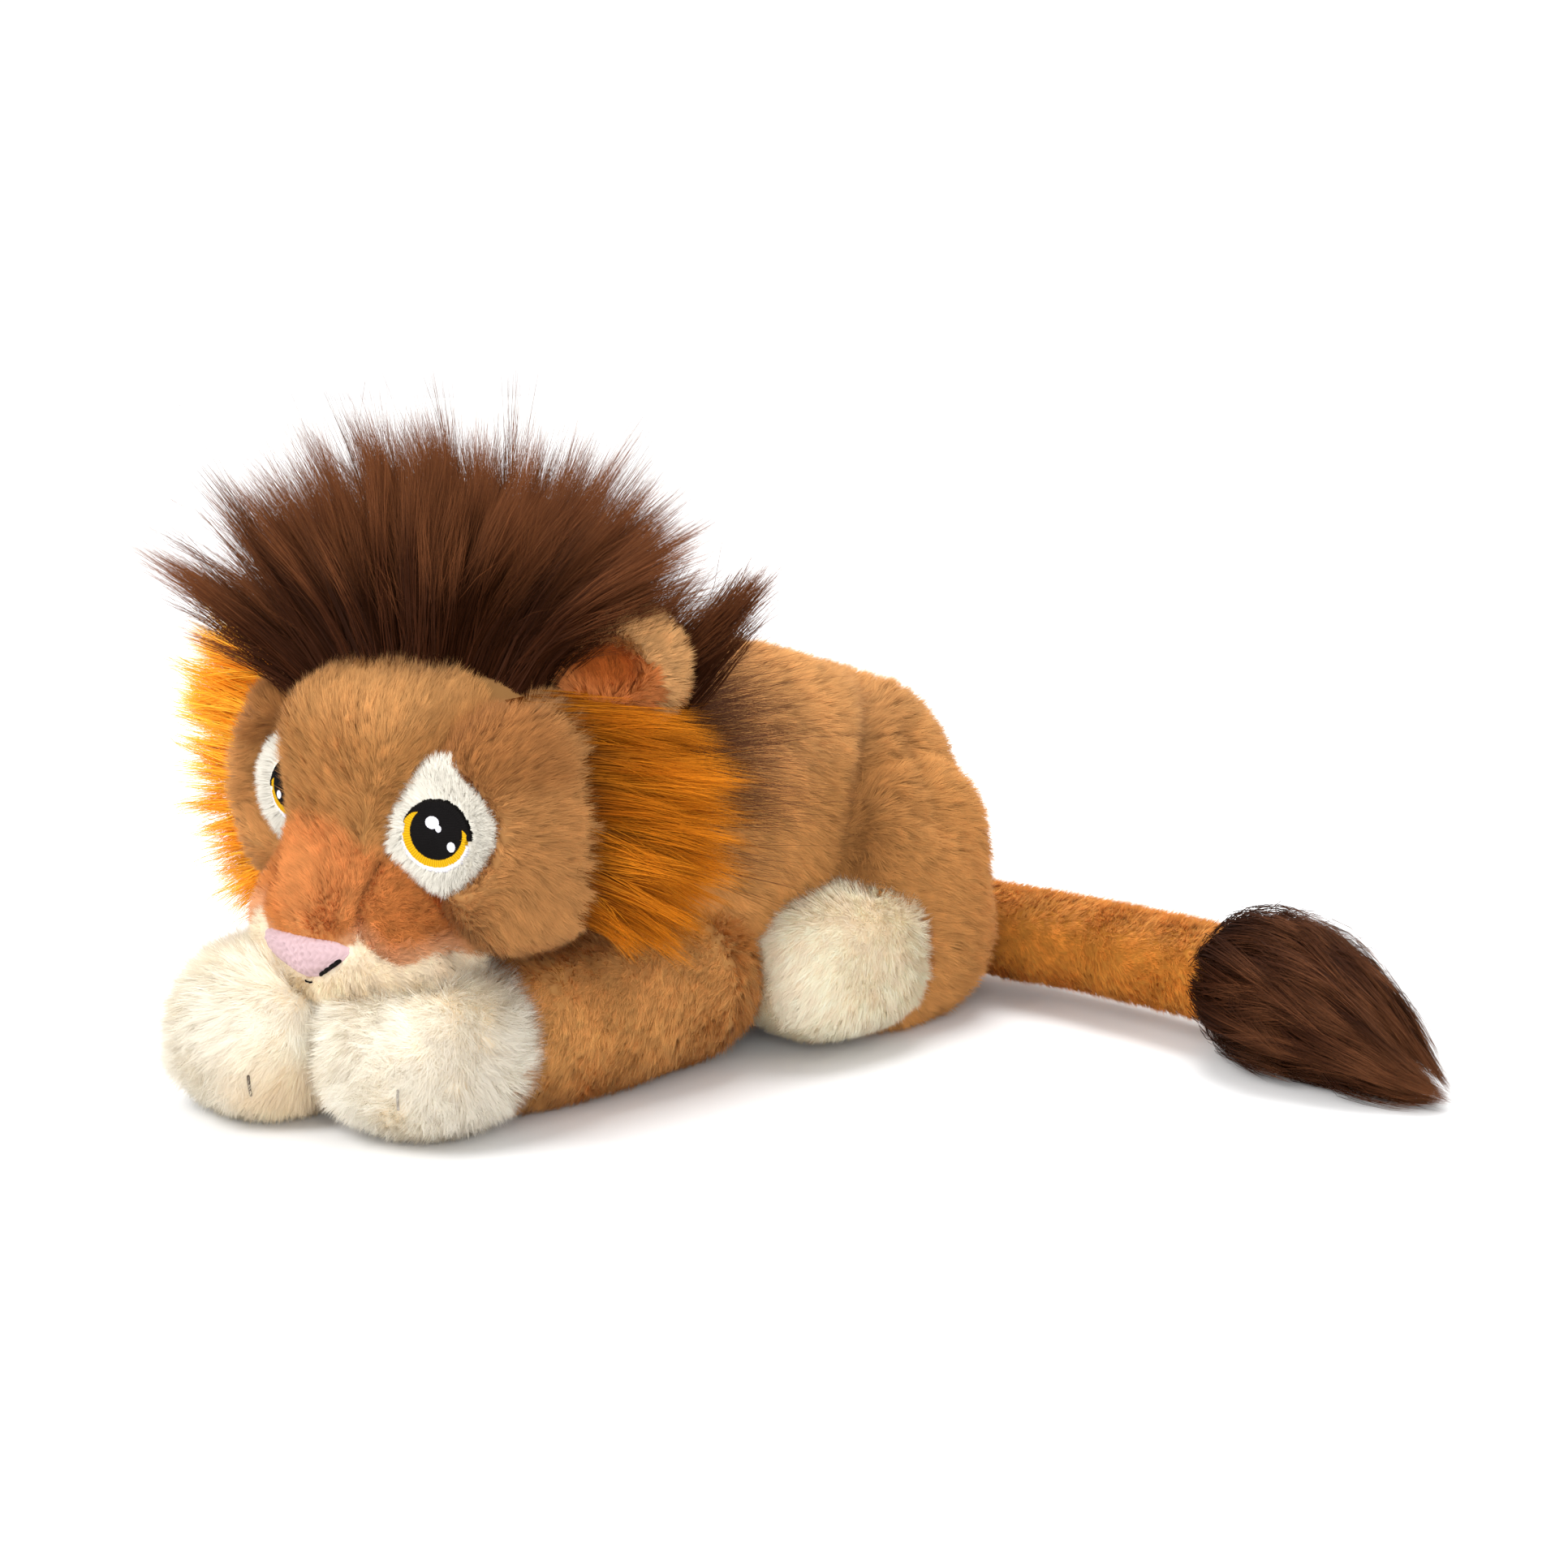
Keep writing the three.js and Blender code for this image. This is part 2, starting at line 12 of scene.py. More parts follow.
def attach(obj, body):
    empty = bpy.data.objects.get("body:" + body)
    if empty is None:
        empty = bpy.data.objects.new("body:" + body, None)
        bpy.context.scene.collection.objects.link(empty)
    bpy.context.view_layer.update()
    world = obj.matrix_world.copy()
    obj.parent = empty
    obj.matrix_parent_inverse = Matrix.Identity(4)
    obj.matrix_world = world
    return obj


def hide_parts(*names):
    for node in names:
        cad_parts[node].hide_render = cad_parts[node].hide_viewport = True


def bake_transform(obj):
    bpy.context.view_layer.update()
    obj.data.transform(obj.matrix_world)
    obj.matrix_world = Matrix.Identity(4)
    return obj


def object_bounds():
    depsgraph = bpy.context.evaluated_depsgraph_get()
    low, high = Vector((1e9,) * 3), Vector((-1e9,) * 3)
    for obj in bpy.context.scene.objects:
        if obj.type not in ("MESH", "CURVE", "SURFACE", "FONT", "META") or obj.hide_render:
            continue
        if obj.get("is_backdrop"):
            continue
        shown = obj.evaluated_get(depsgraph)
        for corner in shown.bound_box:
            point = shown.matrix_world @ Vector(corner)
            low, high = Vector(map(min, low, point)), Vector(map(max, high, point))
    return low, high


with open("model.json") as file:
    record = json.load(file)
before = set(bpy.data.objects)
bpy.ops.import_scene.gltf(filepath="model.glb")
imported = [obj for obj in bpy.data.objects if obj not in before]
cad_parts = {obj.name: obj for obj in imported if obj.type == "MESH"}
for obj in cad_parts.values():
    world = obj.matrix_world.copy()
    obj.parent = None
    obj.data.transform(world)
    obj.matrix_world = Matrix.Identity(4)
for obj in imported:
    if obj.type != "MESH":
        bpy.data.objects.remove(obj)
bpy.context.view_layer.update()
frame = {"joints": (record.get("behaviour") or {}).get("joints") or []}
DENSE = 1.0
THICK = 1.0
neck_joint = [j for j in frame["joints"] if j["name"] == "neck_yaw"][0]
SHIFT = np.array(neck_joint["pos_m"]) * 1000 - np.array([0.0, -58.0, 84.0])


def row(p):
    return (np.asarray(p, float) + SHIFT) / 1000


def lin(r, g, b):
    c = np.array([r, g, b], float) / 255
    return np.where(c <= 0.04045, c / 12.92, ((c + 0.055) / 1.055) ** 2.4)


# ------------------------------------------------------------------ colours (sRGB)
# TAN_DARK is painted shade: the body's folds and the ground under the neck's pile
TAN, TAN_DARK, TAN_LIGHT = lin(199, 144, 87), lin(158, 104, 55), lin(222, 172, 114)
# ARM_TAN is the body tan lightened: painted light on the forelegs, which lie under the head and ruff
BODY_TAN, ARM_TAN = lin(217, 159, 94), lin(236, 180, 110)
# CREAM_ROOT, the warm cream of the cream pile's ground and roots, is painted warm shade between the hairs
CREAM, CREAM_WARM, CREAM_ROOT = lin(255, 251, 241), lin(246, 220, 178), lin(255, 240, 214)
BROW = lin(198, 144, 85)
BLUSH, PEACH, BRIDGE = lin(212, 134, 70), lin(232, 180, 138), lin(221, 147, 85)
# RUFF_DARK is painted shade at the ruffs' roots
RUFF_A, RUFF_B, RUFF_DARK = lin(148, 77, 3), lin(214, 131, 27), lin(92, 43, 3)
MANE_ROOT, MANE_MID, MANE_TIP = lin(60, 30, 14), lin(57, 28, 12), lin(120, 72, 42)
EAR_IN = lin(200, 108, 46)
PINK = lin(173, 147, 150)
BLACK, GOLD, THREAD_WHITE = lin(9, 7, 7), lin(192, 146, 12), lin(214, 212, 220)


# ------------------------------------------------------------------ small helpers
def unit(v):
    return v / np.maximum(np.linalg.norm(v, axis=-1, keepdims=True), 1e-9)


def smooth(a, b, x):
    t = np.clip((x - a) / (b - a), 0, 1)
    return t * t * (3 - 2 * t)


def mix(a, b, w):
    w = np.asarray(w)[..., None]
    return np.asarray(a) * (1 - w) + np.asarray(b) * w


def waves(seed, scale, out=3, n=9):
    """Smooth repeatable noise in space, about -1 to 1."""
    r = np.random.default_rng(seed)
    k = unit(r.normal(size=(n, 3))) * (2 * math.pi / scale) * r.uniform(0.6, 1.7, (n, 1))
    ph, amp = r.uniform(0, 2 * math.pi, (n, out)), r.normal(size=(n, out)) / math.sqrt(n) * 1.3

    def f(p):
        a = p @ k.T
        return (np.sin(a[:, :, None] + ph[None]) * amp[None]).sum(1)

    return f


def seld(p, c, s, e):
    """About the distance from p to a superellipsoid, negative inside."""
    q = p - np.asarray(c, float)
    r = np.sqrt((q * q).sum(-1)) + 1e-9
    f = ((np.abs(q / np.asarray(s, float)) ** e).sum(-1)) ** (1.0 / e) + 1e-12
    return r * (1 - 1 / f)


def smin(a, b, k):
    h = np.clip(0.5 + 0.5 * (b - a) / k, 0, 1)
    return b + (a - b) * h - k * h * (1 - h)


def tube(p, pts, radii):
    """Distance to a bent tube whose radius runs between the given ones."""
    pts, best = np.asarray(pts, float), None
    for i in range(len(pts) - 1):
        a, d = pts[i], pts[i + 1] - pts[i]
        t = np.clip(((p - a) @ d) / (d @ d), 0, 1)
        dist = np.linalg.norm(p - (a + t[:, None] * d), axis=1) - (radii[i] + t * (radii[i + 1] - radii[i]))
        best = dist if best is None else smin(best, dist, 3)
    return best


def absx(p):
    q = p.copy()
    q[:, 0] = np.abs(q[:, 0])
    return q


def line_dist(p, pts):
    pts, best = np.asarray(pts, float), np.full(len(p), 1e9)
    for a, b in zip(pts[:-1], pts[1:]):
        d = b - a
        t = np.clip(((p - a) @ d) / (d @ d), 0, 1)
        best = np.minimum(best, np.linalg.norm(p - (a + t[:, None] * d), axis=1))
    return best


# ------------------------------------------------------------------ the sewn forms
ARM_L = ([(22, -31, 31), (26, -60, 27), (26, -92, 25), (25, -126, 25)], [28, 24.5, 23.5, 20])
ARM_R = ([(-22, -31, 31), (-28, -66, 27), (-29, -110, 25), (-29, -148, 25)], [28, 24.5, 23.5, 20])
PAW_L, PAW_R, PAW_S = (23.5, -136, 27), (-30, -156.5, 25.5), (25.7, 28, 24.5)
FOOT_C, FOOT_S = (44, 23, 30), (22, 30, 23)
TAIL = ([(0, 100, 21), (34, 112.5, 21), (80, 118, 22.5), (122, 119, 24), (150, 117, 25)], [13.5, 13.2, 13.2, 13.2, 13])
CHEEK_C, CHEEK_S = (43, -113, 99.5), (20.5, 32, 35.5)
EYES = {1: ((41.0, -143.3, 102.6), 24.0), -1: ((-37.7, -140.0, 102.6), -3.0)}
EYE_TILT = 4.0

KITE = [(1.6, 22.4), (7.4, 17.4), (15.3, 10.9), (18.7, 5.2), (18.4, -1.0), (16.8, -5.3), (13.4, -10.4), (8.4, -15.2),
        (2.5, -18.4), (-2.8, -16.6), (-7.4, -13.4), (-12.7, -10.2), (-17.4, -8.0), (-18.9, -5.2), (-17.6, 0.1),
        (-15.8, 5.5), (-12.2, 11.2), (-7.8, 17.8), (-4.0, 21.8)]


def eye_frame(side):
    c, aim = EYES[side]
    a, t = math.radians(aim), math.radians(EYE_TILT)
    n = np.array([math.sin(a) * math.cos(t) * side, -math.cos(a) * math.cos(t), math.sin(t)])
    u = np.array([math.cos(a) * side, math.sin(a), 0.0])
    v = np.cross(u, n)
    return np.array(c), u, v if v[2] > 0 else -v, n


def kite_dist(uv):
    """Signed distance to the eye patch outline in its own plane, negative inside."""
    P = np.array(KITE)
    Q = np.roll(P, -1, 0)
    best, inside = np.full(len(uv), 1e9), np.zeros(len(uv), bool)
    for a, b in zip(P, Q):
        d = b - a
        t = np.clip(((uv - a) @ d) / (d @ d), 0, 1)
        best = np.minimum(best, np.linalg.norm(uv - (a + t[:, None] * d), axis=1))
        cross = ((a[1] > uv[:, 1]) != (b[1] > uv[:, 1])) & (
            uv[:, 0] < (b[0] - a[0]) * (uv[:, 1] - a[1]) / (b[1] - a[1] + 1e-12) + a[0]
        )
        inside ^= cross
    return np.where(inside, -best, best)


def eye_coords(p, side):
    c, u, v, n = eye_frame(side)
    q = p - c
    return q @ u, q @ v, q @ n


def head_f(p):
    q = absx(p)
    far = (p[:, 0] < 0)[:, None] * np.array([6.5, -3.6, 0.0])
    base = seld(p, (0, -101.5, 99), (52, 44.5, 39.5), 2.8)
    g = p * np.where(p[:, :1] < 0, np.array([[1.09, 1, 1]]), np.array([[1.0, 1, 1]]))
    gus = seld(g, (0, -106, 99.5), (30.5, 49.5, 42.5), 5.5)
    ch = seld(q - far, CHEEK_C, CHEEK_S, 2.2)
    mz = seld(p, (-2, -140, 63.2), (40, 25, 23.6), 2.4)
    d = smin(smin(base, gus, 6), ch, 5)
    d = smin(d, mz, 6 + 12 * smooth(34, 14, np.abs(p[:, 0])))
    # sewn lines pull the cloth in
    seam = line_dist(q, [(22, -150, 92), (20.6, -155, 85), (19.5, -159, 79), (20.5, -162, 72)])
    d = d + 2.6 * np.exp(-((seam / 2.6) ** 2))
    under = line_dist(q, [(0, -165, 52), (10, -163, 57), (22, -161, 68), (30, -158, 62), (38, -152, 59.5), (45, -143, 65), (50, -140, 71)])
    d = d + 0.8 * np.exp(-((under / 2.2) ** 2))
    crease = line_dist(p * np.where(p[:, :1] > 0, [[1, 1, 1.0]], [[-0.92, 1, 1.0]]), [(44, -142, 91), (41.5, -143, 84), (39.2, -142, 78), (38.8, -139, 67), (38, -135, 58)])
    d = d + 3.2 * np.exp(-((crease / 3.6) ** 2))
    return d


CHEST, REAR = ((0, 4, 72), (43, 61, 57), 2.4), ((0, 49, 60), (42, 54, 56), 2.3)
HAUNCH = ((37, 56, 44), (20, 37, 44.5), 2.8)


def torso_f(p):
    q = absx(p)
    d = smin(smin(seld(p, *CHEST), seld(p, *REAR), 14), seld(q, *HAUNCH), 4)
    folds = [
        ([(14, 66, 114), (24, 58, 109), (36, 42, 97), (46, 31, 82), (48, 25, 62), (47, 22, 50)], 10.0, 7.0),
        ([(30, 66, 100), (44, 62, 92), (52, 60, 80), (55, 62, 70)], 6.0, 4.2),
        ([(52, 58, 84), (55, 68, 70), (57, 78, 58)], 5.0, 4.5),
        ([(46, 40, 88), (52, 48, 80), (54, 58, 74)], 5.5, 4.2),
        ([(48, 16, 66), (50, 27, 58), (51, 33, 46)], 1.8, 5.0),
        ([(43, -4, 58), (45, 12, 50), (44, 22, 40)], 2.0, 5.0),
    ]
    for pts, depth, w in folds:
        d = d + depth * np.exp(-((line_dist(q, pts) / w) ** 2))
    return d + 0.9 * LUMPS(p)[:, 0]


def arm_f(p, arm):
    return tube(p, *arm)


def paw_f(p, c):
    return seld(p, c, PAW_S, 2.3)


def foot_f(p, side=1):
    return seld(p, (FOOT_C[0] * side, FOOT_C[1], FOOT_C[2]), FOOT_S, 2.75)


LUMPS = waves(3, 46, 1)


# ------------------------------------------------------------------ surfaces
class Surf:
    def __init__(self, V, F):
        self.V, self.F = np.asarray(V, float), np.asarray(F, int)
        self.refresh()

    def refresh(self):
        a, b, c = (self.V[self.F[:, i]] for i in range(3))
        fn = np.cross(b - a, c - a)
        self.area = np.linalg.norm(fn, axis=1) / 2
        N = np.zeros_like(self.V)
        for i in range(3):
            for k in range(3):
                N[:, k] += np.bincount(self.F[:, i], fn[:, k], len(self.V))
        self.N = unit(N)
        self.mid = (a + b + c) / 3
        self.FN = unit(fn)


def cube_sphere(n):
    t = np.tan(np.linspace(-1, 1, n + 1) * math.pi / 4)
    P, Q, base = [], [], 0
    for axis in range(3):
        for s in (1, -1):
            a, b = np.meshgrid(t, t, indexing="ij")
            g = np.empty((n + 1, n + 1, 3))
            g[..., axis], g[..., (axis + 1) % 3], g[..., (axis + 2) % 3] = s, a * s, b
            P.append(g.reshape(-1, 3))
            i = np.arange(n * (n + 1)).reshape(n, n + 1)[:, :n].ravel() + base
            Q.append(np.stack([i, i + n + 1, i + n + 2, i + 1], 1))
            base += (n + 1) ** 2
    P, Q = np.concatenate(P), np.concatenate(Q)
    _, first, back = np.unique(np.round(P, 6), axis=0, return_index=True, return_inverse=True)
    Q = back.ravel()[Q]
    F = np.concatenate([Q[:, [0, 1, 2]], Q[:, [0, 2, 3]]])
    return unit(P[first]), F


def star(fn, centre, n, reach=150.0):
    D, F = cube_sphere(n)
    lo, hi, centre = np.zeros(len(D)), np.full(len(D), reach), np.asarray(centre, float)
    for _ in range(22):
        m = (lo + hi) / 2
        out = fn(centre + m[:, None] * D) > 0
        hi, lo = np.where(out, m, hi), np.where(out, lo, m)
    return Surf(centre + lo[:, None] * D, F)


def flatten(S, low=0.8):
    """Presses what would sink into the floor flat, with a soft edge."""
    z = S.V[:, 2]
    S.V[:, 2] = np.where(z < low + 3, low + 3 * np.exp((np.minimum(z, low + 3) - low - 3) / 3), z)
    S.refresh()
    return S


def swept(pts, radii, rings=40, segs=40, squash=1.0):
    """A closed tube along a smooth line through pts, with round ends."""
    pts = np.asarray(pts, float)
    t = np.concatenate([[0], np.cumsum(np.linalg.norm(np.diff(pts, axis=0), axis=1))])
    L = t[-1]
    s = np.linspace(0, L, rings)
    smoothed = np.stack([np.interp(s, t, pts[:, k]) for k in range(3)], 1)
    for _ in range(6):
        smoothed[1:-1] = (smoothed[:-2] + 2 * smoothed[1:-1] + smoothed[2:]) / 4
    R = np.interp(s, t, radii)
    tan = unit(np.gradient(smoothed, axis=0))
    up = np.array([0, 0, 1.0])
    side = unit(np.cross(tan, up))
    nrm = np.cross(side, tan)
    C, RR = [smoothed[0] - tan[0] * R[0] * 0.9], [0.02]
    for a in (60, 30):
        C.append(smoothed[0] - tan[0] * R[0] * 0.9 * math.sin(math.radians(a)))
        RR.append(R[0] * math.cos(math.radians(a)))
    C += list(smoothed)
    RR += list(R)
    for a in (30, 60):
        C.append(smoothed[-1] + tan[-1] * R[-1] * 0.9 * math.sin(math.radians(a)))
        RR.append(R[-1] * math.cos(math.radians(a)))
    C.append(smoothed[-1] + tan[-1] * R[-1] * 0.9)
    RR.append(0.02)
    idx = np.clip(np.arange(len(C)) - 3, 0, rings - 1)
    th = np.linspace(0, 2 * math.pi, segs, endpoint=False)
    C, RR = np.array(C), np.array(RR)
    V = (C[:, None] + RR[:, None, None] * (np.cos(th)[None, :, None] * side[idx][:, None] + np.sin(th)[None, :, None] * squash * nrm[idx][:, None])).reshape(-1, 3)
    F = []
    for i in range(len(C) - 1):
        for j in range(segs):
            a, b = i * segs + j, i * segs + (j + 1) % segs
            F += [(a, a + segs, b + segs), (a, b + segs, b)]
    S = Surf(V, F)
    if ((S.mid - C.mean(0)) * S.FN).sum() < 0 or ((S.V - V.mean(0)) * S.N).sum() < 0:
        S = Surf(V, np.array(F)[:, ::-1])
    S.axis = (smoothed, tan)
    return S


# ------------------------------------------------------------------ mesh building
class Bag:
    """Collects triangles with a colour, a shading normal and a place in the colour map."""

    def __init__(self):
        self.v, self.f, self.n, self.c, self.uv, self.count, self.cells = [], [], [], [], [], 0, 0

    def cloth(self, S, faces, colour, lift=2.0):
        """The dense woolly ground of the pile, a little above the backing cloth. Most callers give it a darkened
        colour: painted shade of the pile's depth.
        """
        used = np.unique(S.F[faces])
        new = np.full(len(S.V), -1)
        new[used] = np.arange(len(used))
        F = new[S.F[faces]]
        v = S.V[used] + S.N[used] * lift
        v[:, 2] = np.maximum(v[:, 2], 0.3)
        self.v.append(v)
        self.f.append(F + self.count)
        self.n.append(S.N[used])
        self.c.append(np.broadcast_to(colour(S.V[used]) if callable(colour) else colour, (len(used), 3)))
        key = np.floor(S.mid[faces] / 9).astype(int)
        _, cell = np.unique(key, axis=0, return_inverse=True)
        cell = cell.ravel() + self.cells
        self.cells = int(cell.max()) + 1
        corner = np.array([(0.15, 0.15), (0.85, 0.15), (0.5, 0.85)])
        self.uv.append((np.repeat(cell, 3), np.tile(corner, (len(F), 1))))
        self.count += len(used)

    def hairs(self, P, W, side, C, N, cell):
        """P (n, k+1, 3) centre lines, W (n, k+1) widths, side (n, k+1, 3), C and N (n, k+1, 3), cell (n,)."""
        n, k1 = P.shape[:2]
        k = k1 - 1
        P = np.clip(P, [-121, -206, 0.15], [250, 152, 236])
        T = P[:, -1] - P[:, 0]
        turn = np.sign((np.cross(side[:, 0], T) * N[:, 0]).sum(1) + 1e-12)
        side = side * turn[:, None, None]
        left, right = P - side * W[..., None] / 2, P + side * W[..., None] / 2
        body = np.stack([left[:, :k], right[:, :k]], 2).reshape(n, 2 * k, 3)
        V = np.concatenate([body, P[:, k:]], 1)
        rep = lambda a: np.concatenate([np.repeat(a[:, :k], 2, 1), a[:, k:]], 1)
        tri = []
        for i in range(k - 1):
            a = 2 * i
            tri += [(a, a + 1, a + 3), (a, a + 3, a + 2)]
        tri.append((2 * k - 2, 2 * k - 1, 2 * k))
        tri = np.array(tri)
        F = (np.arange(n)[:, None, None] * (2 * k + 1) + tri[None]).reshape(-1, 3)
        cu = np.concatenate([np.tile([0.1, 0.9], k), [0.5]])
        cv = np.concatenate([np.repeat(np.arange(k) / k * 0.8 + 0.1, 2), [0.9]])
        uv = np.stack([cu, cv], 1)
        self.uv.append((np.repeat(cell + self.cells, len(tri) * 3), np.tile(uv[tri.ravel()], (n, 1))))
        self.cells += int(cell.max()) + 1
        self.v.append(V.reshape(-1, 3))
        self.f.append(F + self.count)
        self.n.append(rep(N).reshape(-1, 3))
        self.c.append(rep(C).reshape(-1, 3))
        self.count += n * (2 * k + 1)


made = {}


def build(name, bag, material, body, replaces=(), blend=None):
    V, F = row(np.concatenate(bag.v)), np.concatenate(bag.f)
    me = bpy.data.meshes.new(name)
    me.vertices.add(len(V))
    me.vertices.foreach_set("co", V.astype(np.float32).ravel())
    me.loops.add(F.size)
    me.loops.foreach_set("vertex_index", F.ravel().astype(np.int32))
    me.polygons.add(len(F))
    me.polygons.foreach_set("loop_start", np.arange(0, F.size, 3, dtype=np.int32))
    me.update(calc_edges=True)
    if blend:  # kept relative to the faces, so the shading turns with the bend
        me.normals_split_custom_set_from_vertices(unit(np.concatenate(bag.n)).tolist())
    else:
        nrm = me.attributes.new("custom_normal", "FLOAT_VECTOR", "POINT")
        nrm.data.foreach_set("vector", unit(np.concatenate(bag.n)).astype(np.float32).ravel())
    col = me.color_attributes.new("Col", "FLOAT_COLOR", "POINT")
    rgba = np.ones((len(V), 4), np.float32)
    rgba[:, :3] = np.clip(np.concatenate(bag.c), 0, 1)
    col.data.foreach_set("color", rgba.ravel())
    g = max(1, math.ceil(math.sqrt(bag.cells)))
    cell = np.concatenate([c for c, _ in bag.uv])
    uv = np.concatenate([u for _, u in bag.uv])
    uv = (np.stack([cell % g, cell // g], 1) + uv) / g
    layer = me.uv_layers.new(name="OFBake")
    layer.data.foreach_set("uv", uv.astype(np.float32).ravel())
    me.materials.append(material)
    o = bpy.data.objects.new(name, me)
    bpy.context.scene.collection.objects.link(o)
    made[name] = len(F)
    if blend:
        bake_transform(o)
    else:
        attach(o, body)
    if replaces:
        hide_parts(*replaces)
    return o


def cloth_material(name, roughness, sheen=0.0, specular=0.3, through=0.0):
    m = bpy.data.materials.new(name)
    m.use_nodes = True
    b = m.node_tree.nodes["Principled BSDF"]
    b.inputs["Roughness"].default_value = roughness
    b.inputs["Specular IOR Level"].default_value = specular
    b.inputs["Sheen Weight"].default_value = sheen
    b.inputs["Sheen Roughness"].default_value = 0.45
    a = m.node_tree.nodes.new("ShaderNodeVertexColor")
    a.layer_name = "Col"
    m.node_tree.links.new(a.outputs["Color"], b.inputs["Base Color"])
    if through:  # thin fibres let some light through
        t = m.node_tree.nodes.new("ShaderNodeBsdfTranslucent")
        x = m.node_tree.nodes.new("ShaderNodeMixShader")
        x.inputs[0].default_value = through
        m.node_tree.links.new(a.outputs["Color"], t.inputs["Color"])
        m.node_tree.links.new(b.outputs[0], x.inputs[1])
        m.node_tree.links.new(t.outputs[0], x.inputs[2])
        m.node_tree.links.new(x.outputs[0], m.node_tree.nodes["Material Output"].inputs["Surface"])
    return m


PILE = cloth_material("pile_short", 0.9, 0.06, 0.1, 0.35)
LONG = cloth_material("pile_long", 0.6, 0.0, 0.06, 0.35)
VELOUR = cloth_material("velour", 0.9, 0.05, 0.08)
THREAD = cloth_material("thread", 0.6, 0.0, 0.05)


# ------------------------------------------------------------------ short pile
def ortho(n):
    a = np.where(np.abs(n[:, 2:3]) < 0.9, np.array([[0, 0, 1.0]]), np.array([[1.0, 0, 0]]))
    u = unit(np.cross(a, n))
    return u, np.cross(n, u)


def pile(bag, S, faces, dens, length, lean, groom, colour, seed, clump=0.95, per=9, width=0.30, cull=None, wild=0.5,
         root=0.66, tip=1.1, spread=0.45, lift=1.3, tone=1.0, root_tint=None):
    """Clumped short pile on some faces of a surface; each tapering hair starts inside the woolly ground and leans with the nap.
    length, lean (radians), groom and colour are functions of place and normal, or constants."""
    rng = np.random.default_rng(seed)
    idx = np.flatnonzero(faces)
    if not len(idx):
        return
    acc = np.cumsum(S.area[idx])
    n = max(1, int(acc[-1] * dens * DENSE / per))
    f = idx[np.searchsorted(acc, rng.uniform(0, acc[-1], n)).clip(0, len(idx) - 1)]
    r1, r2 = np.sqrt(rng.uniform(0, 1, n)), rng.uniform(0, 1, n)
    w = np.stack([1 - r1, r1 * (1 - r2), r1 * r2], 1)
    c = (S.V[S.F[f]] * w[..., None]).sum(1)
    nr = unit((S.N[S.F[f]] * w[..., None]).sum(1))
    if cull is not None:
        keep = cull(c)
        c, nr = c[keep], nr[keep]
        n = len(c)
        if not n:
            return
    val = lambda x: x(c, nr) if callable(x) else np.full(n, float(x))
    L, lean_a = val(length) * rng.uniform(0.86, 1.14, n), val(lean)
    g = groom(c, nr) + 0.6 * wild * WILD_A(c) + 0.22 * wild * WILD_B(c) + 0.45 * wild * rng.normal(size=(n, 3))
    g = g - (g * nr).sum(1)[:, None] * nr
    strength = np.clip(np.linalg.norm(g, axis=1), 0, 1)
    g = unit(g)
    lean_a = lean_a * (0.6 + 0.4 * strength) + rng.normal(0, 0.10, n)
    col = colour(c, nr) if callable(colour) else np.broadcast_to(colour, (n, 3))
    col = col * (1 + tone * (0.05 * TONE_A(c) + 0.05 * TONE_B(c) + rng.normal(0, 0.06, (n, 1))))
    u, v = ortho(nr)
    i = np.repeat(np.arange(n), per)
    m = len(i)
    rad, ang = clump * np.sqrt(rng.uniform(0, 1, m)), rng.uniform(0, 2 * math.pi, m)
    off = u[i] * (rad * np.cos(ang))[:, None] + v[i] * (rad * np.sin(ang))[:, None]
    foot = c[i] + off + nr[i] * lift
    Ls = L[i] * rng.uniform(0.8, 1.12, m)
    d = nr[i] * np.cos(lean_a[i])[:, None] + g[i] * np.sin(lean_a[i])[:, None] + rng.normal(0, 0.10, (m, 3))
    end = foot + Ls[:, None] * unit(d) - off * (1 - spread)
    P = np.stack([foot, end], 1)
    t = unit(end - foot)
    s0 = unit(np.cross(t, nr[i]) + 1e-6)
    tw = rng.normal(0, 0.45, m)
    side = unit(s0 * np.cos(tw)[:, None] + np.cross(t, s0) * np.sin(tw)[:, None])
    side = np.repeat(side[:, None], 2, 1)
    N = unit(nr[i] - 0.12 * t + rng.normal(0, 0.09, (m, 3)))
    N = np.repeat(N[:, None], 2, 1)
    W = np.stack([width * THICK * rng.uniform(0.75, 1.25, m), np.zeros(m)], 1)
    two = rng.integers(0, 2, m)
    # each hair runs from a darker root to a lighter tip: the dark roots are painted shade deep in the pile
    low = col[i] if root_tint is None else 0.5 * col[i] + 0.5 * root_tint
    C = np.stack([low * root, col[i] * tip], 1) * np.where(two, 1.05, 0.95)[:, None, None]
    bag.hairs(P, W, side, C, N, i * 2 + two)


WILD_A, WILD_B = waves(11, 26), waves(12, 9)
TONE_A, TONE_B = waves(21, 34, 1), waves(22, 8, 1)


